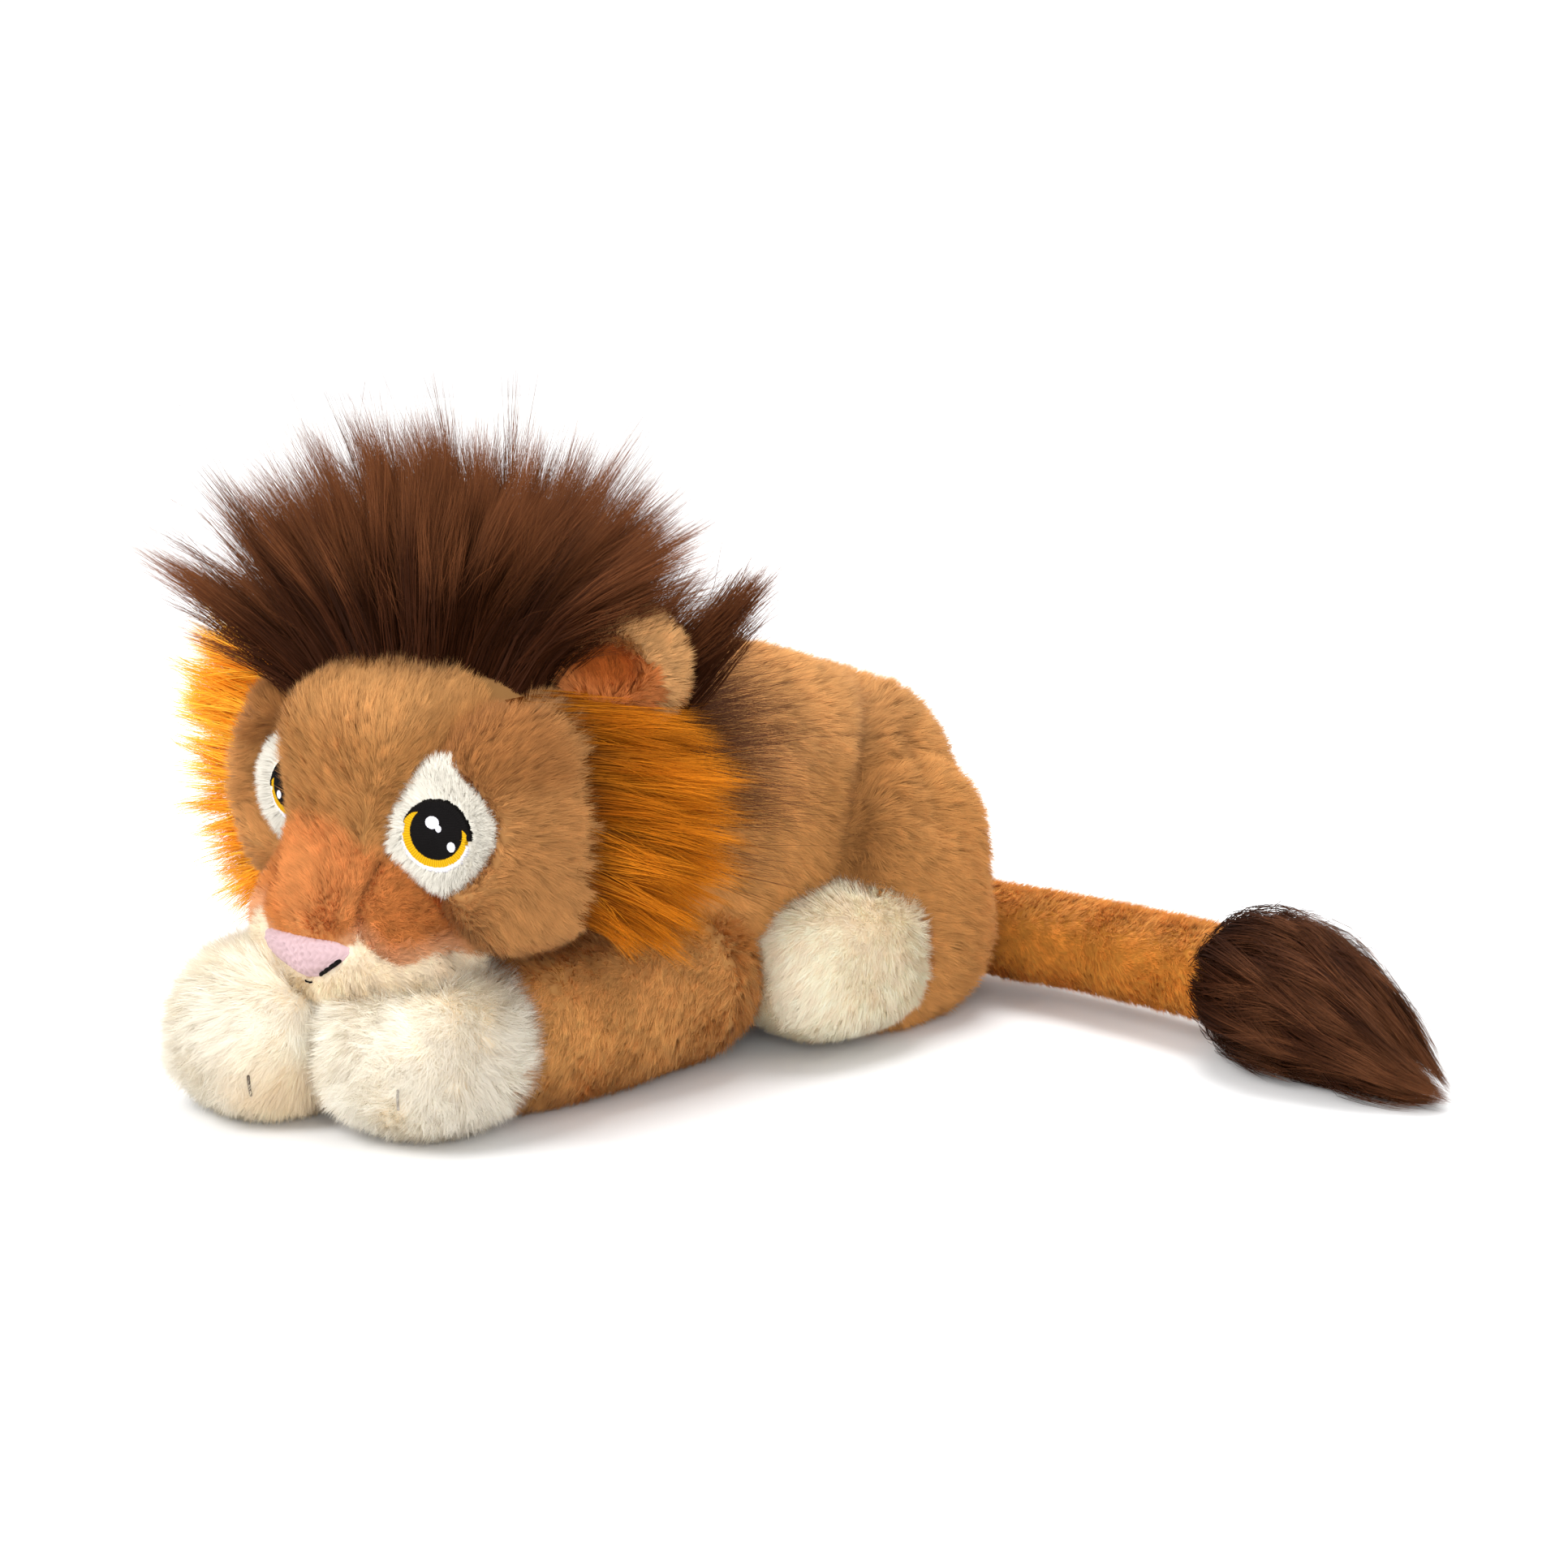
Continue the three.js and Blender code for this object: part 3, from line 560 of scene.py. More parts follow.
# ------------------------------------------------------------------ long hair
def comb(bag, P, i, width, colours, normal, rng, seed_tone=None, thin=1.3, light=1.0, tone=0.09):
    """Meshes hairs with the given paths P (m, k+1, 3); i is the tuft each one belongs to."""
    m, k1 = P.shape[:2]
    t = np.linspace(0, 1, k1)
    W = width * THICK * (1 - 0.8 * t ** thin)[None] * rng.uniform(0.7, 1.3, (m, 1))
    T = unit(np.gradient(P, axis=1))
    side = unit(np.cross(T, unit(rng.normal(size=(m, 3)) * 0.55 + normal)[:, None]))
    N = normal[:, None] - 0.75 * T * (T * normal[:, None]).sum(-1)[..., None]
    N = unit(N + rng.normal(0, 0.16, (m, 1, 3)))
    tones = np.random.default_rng(5 if seed_tone is None else seed_tone).normal(1, tone, int(i.max()) + 1)
    two = rng.integers(0, 2, m)
    shade = tones[i] * np.where(two, 1.15, 0.85) * light
    rc, mc, tc = (np.broadcast_to(x, (m, 3)) for x in colours)
    C = []
    for s in t:
        c = rc * (1 - s * 2) + mc * (s * 2) if s < 0.5 else mc * (2 - 2 * s) + tc * (2 * s - 1)
        C.append(c * shade[:, None])
    bag.hairs(P, W, side, np.stack(C, 1), N, i * 2 + two)


def locks(bag, centres, dirs, lengths, per, seed, root_r=4.0, tip_r=3.0, tufts=4, tuft_r=0.5, width=0.26, k=5, bend=None, colours=None,
          fly=0.045, normal=None, light=1.0, clear=None, curl=2.5, tone=0.09):
    """Locks of long hair, each parting into a few pointed tufts. bend (n, 3) is how far a lock's tip is pulled aside;
    clear(points) tells how far points are from the cloth the hair lies on."""
    rng = np.random.default_rng(seed)
    n = len(centres)
    dirs = unit(dirs)
    bend = np.zeros((n, 3)) if bend is None else bend
    u, v = ortho(dirs)
    i = np.repeat(np.arange(n), per)
    m = len(i)
    rad, ang = np.sqrt(rng.uniform(0, 1, m)), rng.uniform(0, 2 * math.pi, m)
    xy = np.stack([rad * np.cos(ang), rad * np.sin(ang)], 1)
    ta = rng.uniform(0, 2 * math.pi, (n, 1)) + 2 * math.pi * np.arange(tufts)[None] / tufts + rng.normal(0, 0.3, (n, tufts))
    tc = 0.6 * np.stack([np.cos(ta), np.sin(ta)], 2)
    pick = np.argmin(((xy[:, None] - tc[i]) ** 2).sum(-1), 1)
    tuft = i * tufts + pick
    centre = tc[i, pick]
    tip_xy = centre * tip_r + (xy - centre) * tuft_r + rng.normal(0, 0.35, (n * tufts, 2))[tuft]
    root_xy = xy * root_r
    L = lengths[i] * rng.uniform(0.82, 1.07, n * tufts)[tuft] * (1 - 0.24 * rng.uniform(0, 1, m) ** 2)
    jit = rng.normal(0, fly, (m, 3)) * np.where(rng.uniform(0, 1, m) < 0.07, 3.5, 1.0)[:, None]
    tug = bend[i] + (rng.normal(0, curl, (n * tufts, 3)))[tuft]
    P = []
    for s in np.linspace(0, 1, k + 1):
        g = s ** 1.25
        off = root_xy * (1 - g) + tip_xy * g
        q = centres[i] + u[i] * off[:, :1] + v[i] * off[:, 1:] + L[:, None] * s * (dirs[i] + jit * s) + tug * s * s
        P.append(q)
    P = np.stack(P, 1)
    if clear is not None:
        Q = P[:, 1:].reshape(-1, 3)
        for _ in range(2):
            d = clear(Q)
            sunk = d < 0
            if sunk.any():
                g = grad(clear, Q[sunk])
                Q[sunk] -= g * d[sunk][:, None]
        P[:, 1:] = Q.reshape(m, k, 3)
    col = colours if not callable(colours) else colours(i)
    comb(bag, P, tuft, width, col, (dirs if normal is None else normal)[i], rng, seed + 7, light=light, tone=tone)


def on_surface(fn, origin, dirs, reach=120.0, off=0.0):
    lo, hi = np.zeros(len(dirs)), np.full(len(dirs), reach)
    for _ in range(24):
        m = (lo + hi) / 2
        out = fn(origin + m[:, None] * dirs) > off
        hi, lo = np.where(out, m, hi), np.where(out, lo, m)
    return origin + lo[:, None] * dirs


def grad(fn, p, h=0.8):
    e = np.eye(3) * h
    return unit(np.stack([fn(p + e[i]) - fn(p - e[i]) for i in range(3)], 1))


# ================================================================== torso
S = flatten(star(torso_f, (0, 28, 62), 58))
mid = S.mid
haunch_d = seld(absx(mid), *HAUNCH)
rear_d = smin(seld(mid, *CHEST), seld(mid, *REAR), 14)
is_haunch = (haunch_d < rear_d - 0.2) & (np.abs(mid[:, 0]) > 12)
is_belly = (~is_haunch) & (mid[:, 2] < 14)
left = mid[:, 0] > 0


def torso_keep(p):
    a = np.minimum(arm_f(p, ARM_L), arm_f(p, ARM_R))
    h = head_f(p)
    f = np.minimum(foot_f(p, 1), foot_f(p, -1))
    return (a > -5) & (h > -9) & (f > -1.5)


def torso_groom(p, n):
    g = np.zeros_like(p)
    g[:, 1] = 0.75
    g[:, 2] = -0.45 * smooth(0, 30, np.abs(p[:, 0]))
    return g


def torso_colour(p, n):
    q = absx(p)
    c = np.broadcast_to(BODY_TAN, (len(p), 3))
    # painted shade: the pile darkens broadly along the haunch's fold and most in the crease itself
    crease = line_dist(q, [(22, 61, 111), (36, 42, 97), (48, 31, 80), (50, 25, 59)])
    c = mix(c, TAN_DARK, 0.55 * np.exp(-((crease / 17.0) ** 2)))
    c = mix(c, TAN_DARK * 0.5, 0.95 * np.exp(-((crease / 4.2) ** 2)))
    # painted light: the pile is lighter on the top of the body
    c = mix(c, TAN_LIGHT, 0.4 * smooth(88, 108, p[:, 2]))
    # painted shade in the puckers beside the haunch
    pleat = np.minimum(line_dist(q, [(30, 66, 100), (44, 62, 92), (52, 60, 80)]), line_dist(q, [(46, 40, 88), (52, 48, 80), (54, 58, 74)]))
    return mix(c, TAN_DARK * 0.7, 0.8 * np.exp(-((pleat / 3.0) ** 2)))


def seam_short(p, n):
    near = np.minimum(np.abs(p[:, 0]) + 20 * (p[:, 2] < 60), 50)
    q = absx(p)
    crease = line_dist(q, [(22, 61, 111), (36, 42, 97), (48, 31, 80), (50, 25, 59)])
    return 8.0 - 2.2 * np.exp(-((near / 1.6) ** 2)) - 3.0 * np.exp(-((crease / 2.5) ** 2)) - 3.0 * smooth(-0.3, -0.9, n[:, 2])


for name, faces, seed, nodes, body in (
    ("body_panel_left", ~is_haunch & ~is_belly & left, 101, ["body_panel_left", "body_stuffing"], "torso"),
    ("body_panel_right", ~is_haunch & ~is_belly & ~left, 102, ["body_panel_right"], "torso"),
    ("belly_panel", is_belly, 103, ["belly_panel"], "torso"),
    ("haunch_panel_left", is_haunch & left, 104, ["haunch_panel_left", "haunch_stuffing_left"], "torso"),
    ("haunch_panel_right", is_haunch & ~left, 105, ["haunch_panel_right", "haunch_stuffing_right"], "torso"),
):
    bag = Bag()
    bag.cloth(S, faces, lambda v: torso_colour(v, v) * 0.72)
    thin = 0.5 if name == "belly_panel" else 1.0
    pile(bag, S, faces, 7.0 * thin, seam_short, 1.05, torso_groom, torso_colour, seed, cull=torso_keep, wild=0.35)
    build(name, bag, PILE, body, nodes)

# ================================================================== forelegs
for tag, side, arm, paw in (("left", 1, ARM_L, PAW_L), ("right", -1, ARM_R, PAW_R)):
    body = "foreleg_l" if side > 0 else "foreleg_r"
    S = flatten(swept(*arm, rings=44, segs=44))
    axis = np.array(paw) - np.array(arm[0][0])
    axis = axis / np.linalg.norm(axis)
    bag = Bag()
    everywhere = np.ones(len(S.F), bool)
    bag.cloth(S, everywhere, ARM_TAN * 0.8)
    keep = lambda p, c=paw: (paw_f(p, c) > -1.5) & (torso_f(p) > -7) & (head_f(p) > -8)
    # the sleeve pile turns from the lighter tan to the body tan on its underside: painted shade below
    pile(bag, S, everywhere, 7.0, lambda p, n: 7.4 - 3.0 * smooth(-0.3, -0.9, n[:, 2]), 1.02,
         lambda p, n, a=axis: 0.7 * a + np.array([0, 0, -0.25]) + smooth(-0.2, -0.8, n @ a)[:, None] * np.array([0.2 * side, 0, -0.9]),
         lambda p, n: mix(ARM_TAN, BODY_TAN, smooth(0.1, -0.8, n[:, 2])), 120 + side, cull=keep, wild=0.3)
    build("foreleg_sleeve_" + tag, bag, PILE, body, ["foreleg_sleeve_" + tag, "foreleg_stuffing_" + tag])

    S = flatten(star(lambda p, c=paw: paw_f(p, c), paw, 30))
    bag = Bag()
    everywhere = np.ones(len(S.F), bool)
    bag.cloth(S, everywhere, CREAM_ROOT, lift=2.8)

    def paw_groom(p, n, c=paw):
        g = 0.35 * unit(p - np.array(c)) * np.array([1, 1, 0.2])
        g[:, 1] -= 0.45
        g[:, 2] -= 0.35
        return g

    def paw_colour(p, n, c=paw):
        q = p - np.array(c)
        # painted shade: warmer cream on the paw's inner side, where the paws meet; the cream is also warmer towards the
        # bottom
        inner = smooth(4, 20, q[:, 0] if side < 0 else -q[:, 0]) * smooth(12, -14, q[:, 2])
        low = smooth(10, 2, p[:, 2])
        return 0.95 * mix(mix(CREAM, CREAM_WARM, 0.12 + 0.6 * inner), CREAM_WARM, 0.25 * low)

    pile(bag, S, everywhere, 10.5, lambda p, n: 10.4 - 5.0 * smooth(-0.2, -0.9, n[:, 2]), 0.82, paw_groom, paw_colour, 130 + side,
         cull=lambda p: (head_f(p) > -6), clump=1.2, per=8, wild=0.6, root=0.95, tip=1.04, tone=0.6, spread=0.6, width=0.27, root_tint=CREAM_ROOT)
    build("paw_cap_" + tag, bag, PILE, body, ["paw_cap_" + tag])

# ================================================================== hind feet
for tag, side in (("left", 1), ("right", -1)):
    body = "hindfoot_l" if side > 0 else "hindfoot_r"
    S = flatten(star(lambda p: foot_f(p, side), (FOOT_C[0] * side, FOOT_C[1], FOOT_C[2]), 28))
    cap = S.mid[:, 1] < 47
    for name, faces, cloth, seed in (("hind_foot_cap_", cap, CREAM_ROOT, 140), ("hind_foot_back_", ~cap, BODY_TAN * 0.74, 142)):
        bag = Bag()
        bag.cloth(S, faces, cloth)
        cream = name == "hind_foot_cap_"

        def foot_groom(p, n):
            g = 0.3 * unit(p - np.array([FOOT_C[0] * side, FOOT_C[1], FOOT_C[2]]))
            g[:, 1] -= 0.5
            g[:, 2] -= 0.3
            return g

        def foot_colour(p, n):
            if not cream:
                return np.broadcast_to(BODY_TAN, (len(p), 3))
            dot = np.linalg.norm((p - np.array([50.0 * side, 10.0, 9.0])), axis=1)
            return mix(mix(CREAM, CREAM_WARM, 0.38 + 0.3 * smooth(9, 2, p[:, 2])), TAN, 0.5 * np.exp(-((dot / 3.0) ** 2)))

        pile(bag, S, faces, 9.0, lambda p, n: 6.6 - 2.4 * smooth(-0.3, -0.9, n[:, 2]), 0.95, foot_groom, foot_colour, seed + side,
             cull=lambda p: (torso_f(p) > -4) & (arm_f(p, ARM_L if side > 0 else ARM_R) > -2), clump=0.9, per=6, wild=0.3, spread=0.8, root_tint=CREAM_ROOT if cream else None, root=1.0 if cream else 0.66, tip=1.08 if cream else 1.1, tone=0.6 if cream else 1.0)
        if cream:
            build(name + tag, bag, PILE, body, ["hind_foot_cap_" + tag, "hind_foot_stuffing_" + tag])
        else:
            build("hind_sleeve_" + tag, bag, PILE, body, ["hind_sleeve_" + tag])

# ================================================================== tail
S = swept(*TAIL, rings=60, segs=36)
S.V[:, 2] = np.maximum(S.V[:, 2], 4.5)
S.refresh()
bag = Bag()
everywhere = np.ones(len(S.F), bool)
TAIL_TAN = lin(229, 159, 68)
bag.cloth(S, everywhere, TAIL_TAN * 0.74)


def tail_groom(p, n):
    g = np.zeros_like(p)
    g[:, 0] = 0.85
    g[:, 2] = -0.1
    return g


# painted light: the tail's pile is lighter where it faces up
pile(bag, S, everywhere, 8.0, lambda p, n: 5.8 - 1.5 * smooth(-0.3, -0.9, n[:, 2]), 1.05, tail_groom,
     lambda p, n: mix(TAIL_TAN, TAN_LIGHT, 0.35 * smooth(0.3, 0.95, n[:, 2])), 150, cull=lambda p: (torso_f(p) > -6) & (p[:, 0] < 153),
     wild=0.3, root=0.76, clump=0.8, per=7)
build("tail_sleeve", bag, PILE, None, ["tail_sleeve_base", "tail_sleeve_end", "tail_stuffing_base", "tail_stuffing_end"],
      blend=("tail_base", "tail_end", (64, 117, 21), (96, 118, 21)))

# tuft: a stuffed brown core under long swept hair
core = star(lambda p: seld(p, (174, 111, 22), (30, 13, 13), 2.2), (174, 111, 22), 18)
bag = Bag()
bag.cloth(core, np.ones(len(core.F), bool), MANE_ROOT, lift=0.0)


def tuft_paths(n, per, seed, k=5):
    """Hair combed along a flame shape: flaring from the tail's end and closing to a point."""
    rng = np.random.default_rng(seed)
    xs = [134, 140, 147, 157, 169, 183, 197, 212, 226, 239]
    rad = [13.5, 20, 24.5, 27.5, 28, 26.5, 22.5, 16.5, 9.5, 1.5]
    ay = [118, 117.5, 116.5, 115, 113.5, 112.5, 112, 112, 113, 114]
    az = [24, 25, 26, 26.5, 26.5, 25.5, 22.5, 17.5, 11, 6]
    x0 = 136 + 62 * rng.uniform(0, 1, n) ** 1.3
    ph = rng.uniform(0, 2 * math.pi, n)
    lam = np.sqrt(rng.uniform(0.35, 1.0, n))
    Lk = rng.uniform(30, 50, n)
    x1 = np.minimum(x0 + Lk, 241 - rng.uniform(0, 10, n))
    i = np.repeat(np.arange(n), per)
    m = len(i)
    dph, dl, dx = rng.normal(0, 0.13, m), rng.normal(0, 0.08, m), rng.normal(0, 2.5, m)
    veer, puff = rng.normal(0.05, 0.30, n), rng.normal(0, 0.10, n)
    fly = rng.normal(0, 1.0, (m, 3)) * np.where(rng.uniform(0, 1, m) < 0.07, 2.6, 0.8)[:, None]
    P = []
    for s in np.linspace(0, 1, k + 1):
        x = x0[i] + (x1[i] - x0[i]) * s + dx * (1 - 0.4 * s)
        fan = 1 - 0.68 * s
        a = ph[i] + dph * fan + veer[i] * s
        inner = np.where(x0[i] > 146, 0.62 + 0.38 * smooth(0, 0.45, s), 1.0)
        r = np.interp(x, xs, rad) * (lam[i] + dl * fan + puff[i] * s) * inner
        q = np.stack([x, np.interp(x, xs, ay) + r * np.cos(a), np.interp(x, xs, az) + r * np.sin(a) * 0.98], 1)
        P.append(q + fly * s * s)
    P = np.stack(P, 1)
    P[..., 2] = np.maximum(P[..., 2], 0.4 + 0.5 * rng.uniform(0, 1, (m, 1)))
    nrm = np.stack([np.full(m, 0.15), np.cos(ph[i]), np.sin(ph[i]) + 0.25], 1)
    return P, i, unit(nrm), rng


P, i, nrm, rng = tuft_paths(560, 34, 161)
comb(bag, P, i, 0.25, (lin(44, 21, 10), lin(60, 31, 16), lin(122, 76, 48)), nrm, rng, tone=0.16)
build("tail_tuft", bag, LONG, "tail_tip", ["tail_tuft"])

# ================================================================== head
H = star(head_f, (0, -108, 90), 66)
for side in (1, -1):  # the cloth dips where the eye patch is sewn in
    u, v, h = eye_coords(H.V, side)
    kd = kite_dist(np.stack([u, v], 1))
    lim = np.where(kd < 0, -4.2, -4.2 + 0.9 * kd)
    n = eye_frame(side)[3]
    near = (u > (-34 if side > 0 else -9)) & (u < 34) & (np.abs(v) < 36) & (h > -25) & (H.V[:, 0] * side > 0)
    cut = near & (h > lim)
    H.V[cut] -= ((h - lim)[cut])[:, None] * n
H.refresh()
mid = H.mid
eye_k = np.minimum(*[kite_dist(np.stack(eye_coords(mid, s)[:2], 1)) + 60 * (mid[:, 0] * s < 0) + 60 * (mid[:, 1] > -118) for s in (1, -1)])


def z_low(x):
    return np.interp(np.abs(x), [0, 15, 22, 26, 29, 32, 35, 37.5, 40, 44, 48, 56], [52, 60, 68.5, 65.5, 62.5, 60.8, 61.5, 64.5, 69, 73, 75, 77])


def z_top(x):
    return np.interp(np.abs(x), [0, 10, 18, 22, 30, 43, 48, 56], [101, 100, 96, 93.5, 93, 91, 85, 83])


def x_lim(z):
    return np.interp(z, [58, 62, 67, 78, 84, 90], [38.0, 38.5, 39.0, 39.4, 41.5, 44.0])


def chin_w(p):
    """1 on the cream chin and lower muzzle."""
    return smooth(-118, -124, p[:, 1]) * smooth(0.8, -0.8, p[:, 2] - z_low(p[:, 0])) * smooth(1.5, -1.5, np.abs(p[:, 0]) - x_lim(p[:, 2]))


def blush_w(p):
    """1 on the airbrushed bridge and muzzle pads."""
    top = smooth(3.5, -4.5, p[:, 2] - z_top(p[:, 0]))
    return top * smooth(-0.8, 0.8, p[:, 2] - z_low(p[:, 0])) * smooth(-128, -136, p[:, 1]) * smooth(1.5, -1.5, np.abs(p[:, 0]) - x_lim(p[:, 2]))


is_chin = (chin_w(mid) > 0.5) | ((mid[:, 2] < 49) & (mid[:, 1] < -120) & (np.abs(mid[:, 0]) < 34))
gus_half = np.interp(mid[:, 2], [66, 80, 93, 104, 150], [20, 19.5, 22, 29, 31])
is_gusset = ~is_chin & (np.abs(mid[:, 0]) < gus_half) & (mid[:, 1] < -70)
is_left = ~is_chin & ~is_gusset & (mid[:, 0] > 0)
is_right = ~is_chin & ~is_gusset & (mid[:, 0] <= 0)


def head_groom(p, n):
    q = absx(p)
    sgn = np.sign(p[:, 0] + 1e-9)
    g = np.zeros_like(p)
    g[:, 2] = 0.75  # forehead pile lies upward and back
    g[:, 1] = 0.25
    g[:, 0] = 0.12 * p[:, 0] / 30
    # cheeks: the pile runs away from the eye
    ec = np.array([36.0, -140.0, 104.0])
    away = unit(q - ec) * 0.9
    away[:, 0] *= sgn
    wc = smooth(28, 40, q[:, 0])
    g = g * (1 - wc)[:, None] + away * wc[:, None]
    # muzzle: outward and down from the seam line
    wm = smooth(98, 90, p[:, 2]) * smooth(-130, -138, p[:, 1])
    md = 0.8 * unit(p - np.array([1.5, -150.0, 62.0]))
    g = g * (1 - wm)[:, None] + md * wm[:, None]
    return g


def head_colour(p, n):
    c = np.broadcast_to(TAN, (len(p), 3)).copy()
    c = mix(c, BROW, smooth(40, 26, np.abs(p[:, 0])) * smooth(86, 96, p[:, 2]))
    b = blush_w(p)
    # darker brown above the eye: partly a darker tint, partly painted shade of the brow's recess
    c = mix(c, lin(166, 109, 59), 0.75 * smooth(28, 36, np.abs(p[:, 0])) * smooth(110, 120, p[:, 2]) * smooth(-100, -118, p[:, 1]))
    edge = smooth(9, 1, np.abs(p[:, 2] - z_low(p[:, 0]))) * b
    c = mix(c, mix(BRIDGE, BLUSH, smooth(12, 26, np.abs(p[:, 0] - 3) + 1.4 * np.maximum(76 - p[:, 2], 0))), 0.94 * b)
    c = mix(c, PEACH, 0.75 * np.maximum(edge, 0.8 * b * smooth(-24, -38, p[:, 0])))
    # painted light along the top edge of the forehead, under the mane
    c = mix(c, TAN_LIGHT, 0.25 * smooth(124, 134, p[:, 2]) * smooth(-112, -124, p[:, 1]) * smooth(32, 26, np.abs(p[:, 0])))
    w = chin_w(p)
    # painted shade: the chin's cream is dimmed and warmed, and warmer still underneath
    c = mix(c, 0.93 * mix(CREAM, CREAM_WARM, np.full(len(p), 0.6)), w)
    under = w * smooth(58, 43, p[:, 2])
    c = mix(c, CREAM_WARM, 0.75 * under)
    q = absx(p)
    seam = line_dist(q, [(22, -150, 92), (20.6, -155, 85), (19.5, -159, 79), (20.5, -162, 72)])
    c = mix(c, lin(92, 50, 26), 0.85 * np.exp(-((seam / 1.4) ** 2)))
    for x, z in WHISKERS:
        dd = np.hypot(np.abs(p[:, 0]) - x, p[:, 2] - z)
        c = mix(c, lin(120, 114, 108), 0.75 * w * np.exp(-((dd / 0.8) ** 2)))
    return c


WHISKERS = [(13, 49.5), (18.5, 51.5), (25, 53.5), (16.5, 46.5), (23, 49)]


NOSE_C = np.array([0.3, -165.2, 59.3])
NOSE_U = np.array([math.cos(math.radians(6)), math.sin(math.radians(6)), 0.07])
NOSE_U = NOSE_U / np.linalg.norm(NOSE_U)
NOSE_N = np.array([math.sin(math.radians(6)), -math.cos(math.radians(6)), 0.0])
NOSE_V = np.cross(NOSE_U, NOSE_N)
NOSE_V = NOSE_V * np.sign(NOSE_V[2])


def nose_uv(p):
    q = p - NOSE_C
    return q @ NOSE_U, q @ NOSE_V


def nose_in(x, z):
    """Negative inside the nose outline, in mm."""
    half = np.interp(z, [-7.8, -6.9, -4, -1, 2, 4, 5.5, 6.9], [0, 5.5, 12.5, 17.5, 21.3, 22.8, 22.0, 17.5])
    return np.maximum(np.abs(x) - half, np.maximum(z - 6.9, -7.8 - z))


def hairline(x):
    return np.interp(x, [-54, -46, -40, -30, -10, 0, 12, 20, 28, 34], [-134, -132, -131, -129, -126, -122, -112, -103, -98, -94])


def head_len(p, n):
    L = np.full(len(p), 6.6)
    k = np.full(len(p), 99.0)
    for s in (1, -1):
        u, v, h = eye_coords(p, s)
        k = np.minimum(k, kite_dist(np.stack([u, v], 1)) + 60 * (p[:, 0] * s < 0) + 60 * (p[:, 1] > -118))
    L = L * (0.45 + 0.55 * smooth(0.3, 4.5, k))
    muzz = smooth(100, 92, p[:, 2]) * smooth(-128, -138, p[:, 1])
    L = L * (1 - 0.22 * muzz)
    x, z = nose_uv(p)
    nd = nose_in(x, z) + 40 * (p[:, 1] > -140)
    L = L * (0.35 + 0.65 * smooth(0, 5, nd))
    q = absx(p)
    seam = line_dist(q, [(22, -150, 92), (20.6, -155, 85), (19.5, -159, 79), (20.5, -162, 72)])
    L = L * (1 - 0.45 * np.exp(-((seam / 1.6) ** 2)))
    fringe = smooth(9, 1, np.abs(p[:, 1] - hairline(p[:, 0]) + 3)) * smooth(120, 127, p[:, 2])
    return np.maximum(L * (1 + 0.25 * fringe), 2.2)


def head_keep(p):
    ok = torso_f(p) > -9
    for s in (1, -1):
        u, v, h = eye_coords(p, s)
        ok &= ~((kite_dist(np.stack([u, v], 1)) < -0.3) & (h < 6) & (p[:, 0] * s > 0) & (p[:, 1] < -118))
    x, z = nose_uv(p)
    ok &= ~((nose_in(x, z) < -1.0) & (p[:, 1] < -145))
    ok &= ~((p[:, 2] > 134) & (np.abs(p[:, 0]) < 44) & (p[:, 1] > -116) & (p[:, 1] < -70))  # under the mane
    return ok


def head_lean(p, n):
    return 0.98 - 0.3 * smooth(9, 1, np.abs(p[:, 1] - hairline(p[:, 0]) + 3)) * smooth(120, 127, p[:, 2])


for name, faces, seed, nodes, fill in (
    ("forehead_gusset", is_gusset, 201, ["forehead_gusset", "head_stuffing"], 0.8),
    ("cheek_panel_left", is_left, 202, ["cheek_panel_left"], 0.85),
    ("cheek_panel_right", is_right, 203, ["cheek_panel_right"], 0.85),
    ("chin_panel", is_chin, 204, ["chin_panel"], 0.8),
):
    bag = Bag()
    bag.cloth(H, faces, lambda v: head_colour(v, v) * (0.72 + 0.2 * chin_w(v))[:, None])
    rd = 0.92 if name == "chin_panel" else 0.68
    snout = (H.mid[:, 1] < -130) & (H.mid[:, 2] < 96) & (np.abs(H.mid[:, 0]) < 47)
    tint = CREAM_ROOT if name == "chin_panel" else None
    pile(bag, H, faces & ~snout, 9.5, head_len, head_lean, head_groom, head_colour, seed, cull=head_keep, clump=0.8, per=8, wild=0.22, root=rd, tip=1.08, width=0.26, root_tint=tint)
    pile(bag, H, faces & snout, 12.0, lambda p, n: 0.9 * head_len(p, n), 0.85, head_groom, head_colour, seed + 20, cull=head_keep, clump=0.5, per=5, wild=0.3,
         root=max(rd, 0.78), tip=1.05, width=0.24, spread=0.8, root_tint=tint)
    build(name, bag, PILE, "head", nodes)

# neck: a soft tan ball, hidden at rest
S = star(lambda p: np.linalg.norm(p - np.array([0, -58.0, 84]), axis=1) - 31.0, (0, -58, 84), 20)
bag = Bag()
bag.cloth(S, np.ones(len(S.F), bool), TAN_DARK)
pile(bag, S, np.ones(len(S.F), bool), 2.5, 6.0, 0.9, lambda p, n: np.tile([0, 0.6, 0.0], (len(p), 1)), TAN, 210, clump=1.6, per=8, width=0.5,
     cull=lambda p: (torso_f(p) > -8) & (head_f(p) > -8))
build("neck_core", bag, PILE, "neck", ["neck_stuffing"])

